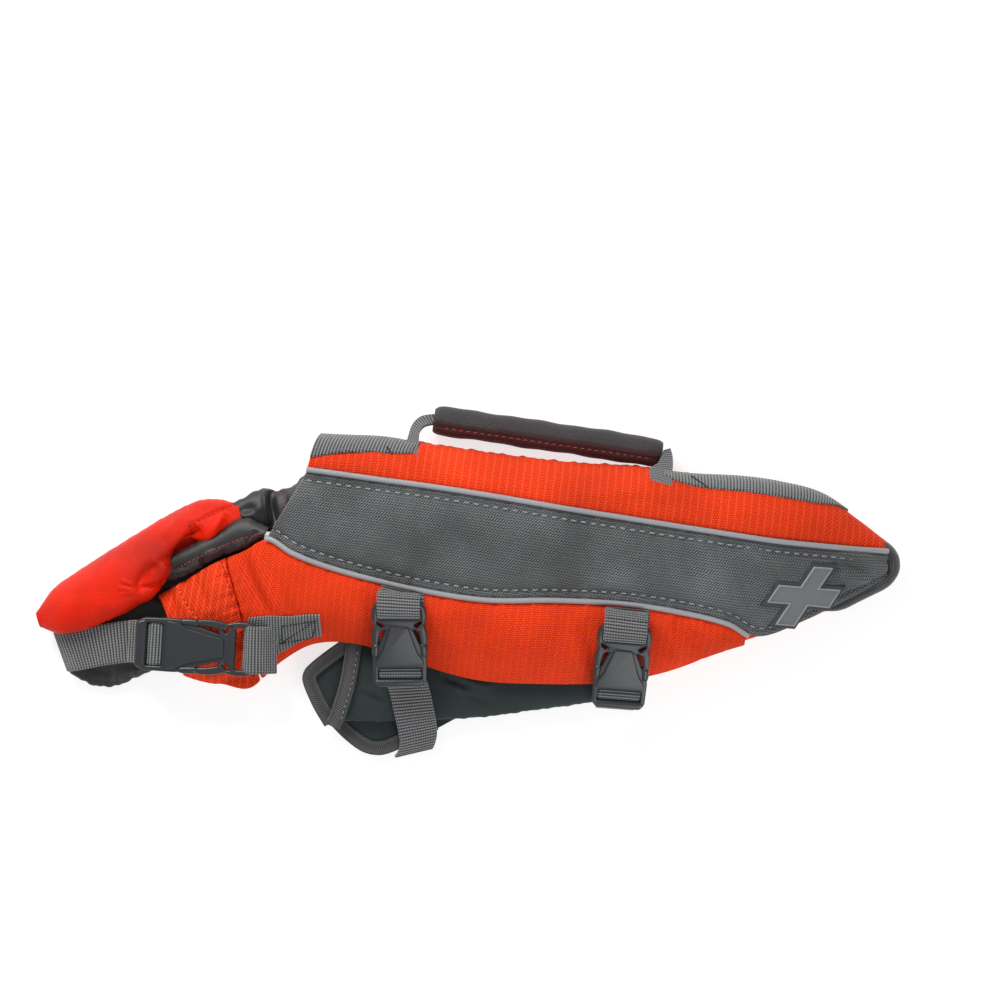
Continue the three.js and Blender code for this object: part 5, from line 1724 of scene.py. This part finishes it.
FRONT_FOOT = [
    [-48.6, 73.5, 34, -40.2, 70.5, 38],
    [-47.6, 80.4, 26, -40.6, 77.4, 29],
    [-46.9, 86.4, 20, -41.2, 83.6, 22],
    [-45.0, 91, 15, -39.9, 87.0, 18],
    [-41, 94.4, 11.5, -36.8, 89.2, 14],
    [-31.5, 97, 8.5, -29.5, 91, 11],
]
REAR_FOOT = [
    [95.2, 75.4, 35.2, 107.6, 74.2, 36],
    [93.6, 79.2, 30.2, 107, 77.6, 31],
    [94.4, 82.4, 24, 107.2, 82, 25],
    [98.2, 85.6, 20, 107.3, 86.4, 20],
    [100.2, 90, 15, 106.8, 91.5, 14],
    [101.2, 93.5, 11, 105.4, 95.5, 10],
]
strap("handle_foot_front_band", "handle_foot_front", strip_face(FRONT_FOOT), 28)
strap("handle_foot_rear_band", "handle_foot_rear", strip_face(REAR_FOOT), 22)

# %% [markdown]
# ## Patch
# The plus on the tail is soft rubber with a raised border round a level middle. Its height is
# worked out from how far each point lies inside the outline.

# %% Rubber plus
PATCH_MIDDLE = np.array([191.3, 21.1])
PATCH_ALONG = np.array([0.93, 0.05])
PATCH_ACROSS = np.array([0.43, 0.9])
PATCH_SPAN = 45.0
PATCH_BORDER = 2.5
PATCH_LINE = 3.5
PATCH_SUNK = 0.6
CELLS = 91
ARM = 28
ARM_HALF = PATCH_SPAN * (0.5 - ARM / CELLS)


def patch_height(inside):
    """The border's low step, its raised line and the level middle, by distance from the edge."""
    step = 1.5 * smooth(inside, -0.1, 0.6)
    line = 0.9 * np.exp(-(((inside - 3.0) / 0.55) ** 2))
    middle = 0.35 * smooth(inside, 2.6, 3.4)
    return step + line + middle


def rubber_plus():
    side = (np.arange(CELLS + 1) / CELLS - 0.5) * PATCH_SPAN
    a, b = np.meshgrid(side, side, indexing="ij")
    wide, thin = PATCH_SPAN / 2, ARM_HALF
    inside = np.maximum(
        np.minimum(wide - np.abs(a), thin - np.abs(b)), np.minimum(thin - np.abs(a), wide - np.abs(b))
    )
    x, y = (PATCH_MIDDLE[k] + a * PATCH_ALONG[k] + b * PATCH_ACROSS[k] for k in (0, 1))
    upper, lower = read(SEAMS, "upper_y", x), read(SEAMS, "lower_y", x)
    across = 1 + (upper - y) / (upper - lower)
    top = on_body(x, across, GAP + patch_height(inside))
    bottom = on_body(x, across, GAP - PATCH_SUNK + 0 * a)
    cell = (np.arange(CELLS) >= ARM) & (np.arange(CELLS) < CELLS - ARM)
    kept = cell[:, None] | cell[None, :]
    count = (CELLS + 1) ** 2
    index = np.arange(count).reshape(CELLS + 1, CELLS + 1)
    quads = np.stack([index[:-1, :-1], index[1:, :-1], index[1:, 1:], index[:-1, 1:]], -1)[kept]
    edges = np.concatenate([quads[:, [k, (k + 1) % 4]] for k in range(4)])
    seen = set(map(tuple, edges.tolist()))
    rim = np.array([(i, j) for i, j in seen if (j, i) not in seen])
    border = np.stack([rim[:, 1], rim[:, 0], rim[:, 0] + count, rim[:, 1] + count], -1)
    faces = np.concatenate([quads, quads[:, ::-1] + count, border])
    points = np.concatenate([top.reshape(-1, 3), bottom.reshape(-1, 3)])
    used, faces = np.unique(faces, return_inverse=True)
    faces = faces.reshape(-1, 4)
    flat = np.stack([a, b], -1).reshape(-1, 2)
    made = finish_mesh("tail_plus", points[used], faces, rubber, np.concatenate([flat, flat])[used])
    made.data.materials.append(rubber_edge)
    made.data.materials.append(rubber_line)
    shade = np.concatenate([inside.reshape(-1)] * 2)[used]
    for face in made.data.polygons:
        depth = shade[list(face.vertices)].mean()
        face.material_index = 1 if depth < PATCH_BORDER else 2 if depth < PATCH_LINE else 0
    return made


dress(rubber_plus(), "rubber", "tail_patch")

# %% [markdown]
# Each webbing, tape and single cloth is a sheet that a maker cut flat. The table lists each one
# with how it is held and the piece below it, and the loop finds its object.

# %% Sheets, how they are held and what lies below them
SHEETS = [
    ["spine_band_front", "laid", "back_cloth"],
    ["spine_band_rear", "laid", "back_cloth"],
    ["front_strap_lower", "laid", "belly_band_cloth"],
    ["rear_strap_lower", "laid", "belly_band_cloth"],
    ["chest_strap_inner", "laid", "far_wing_cloth"],
    ["chest_strap_outer", "laid", "wing_cloth"],
    ["front_strap_wrap", "folded", "front_buckle_male"],
    ["rear_strap_wrap", "folded", "rear_buckle_male"],
    ["chest_strap_wrap", "folded", "chest_buckle_male"],
    ["front_window_webbing", "folded", "front_buckle_female"],
    ["rear_window_webbing", "folded", "rear_buckle_female"],
    ["chest_window_webbing", "folded", "chest_buckle_female"],
    ["handle_foot_front_band", "stretched", "handle_sleeve_cloth"],
    ["handle_foot_rear_band", "stretched", "handle_sleeve_cloth"],
    ["neck_facing_cloth", "gathered", "chin_float_cover"],
    ["neck_lining_cloth", "gathered", "back_cloth"],
    ["far_wing_cloth", "folded", "right_half_cloth"],
    ["belly_band_cloth", "folded", "right_half_cloth"],
    ["band_flap_cloth", "folded", "band_lower_cloth"],
    ["band_lower_cloth", "folded", "right_half_cloth"],
    ["band_end_tape", "folded", "belly_band_cloth"],
    ["band_flap_tape", "folded", "band_flap_cloth"],
    ["band_lower_tape", "folded", "band_lower_cloth"],
    ["tail_tape", "folded", "side_cloth"],
    ["handle_sleeve_cloth", "folded", "handle_foot_front_band"],
]


for piece_name, held, below in SHEETS:
    piece = bpy.data.objects[piece_name]
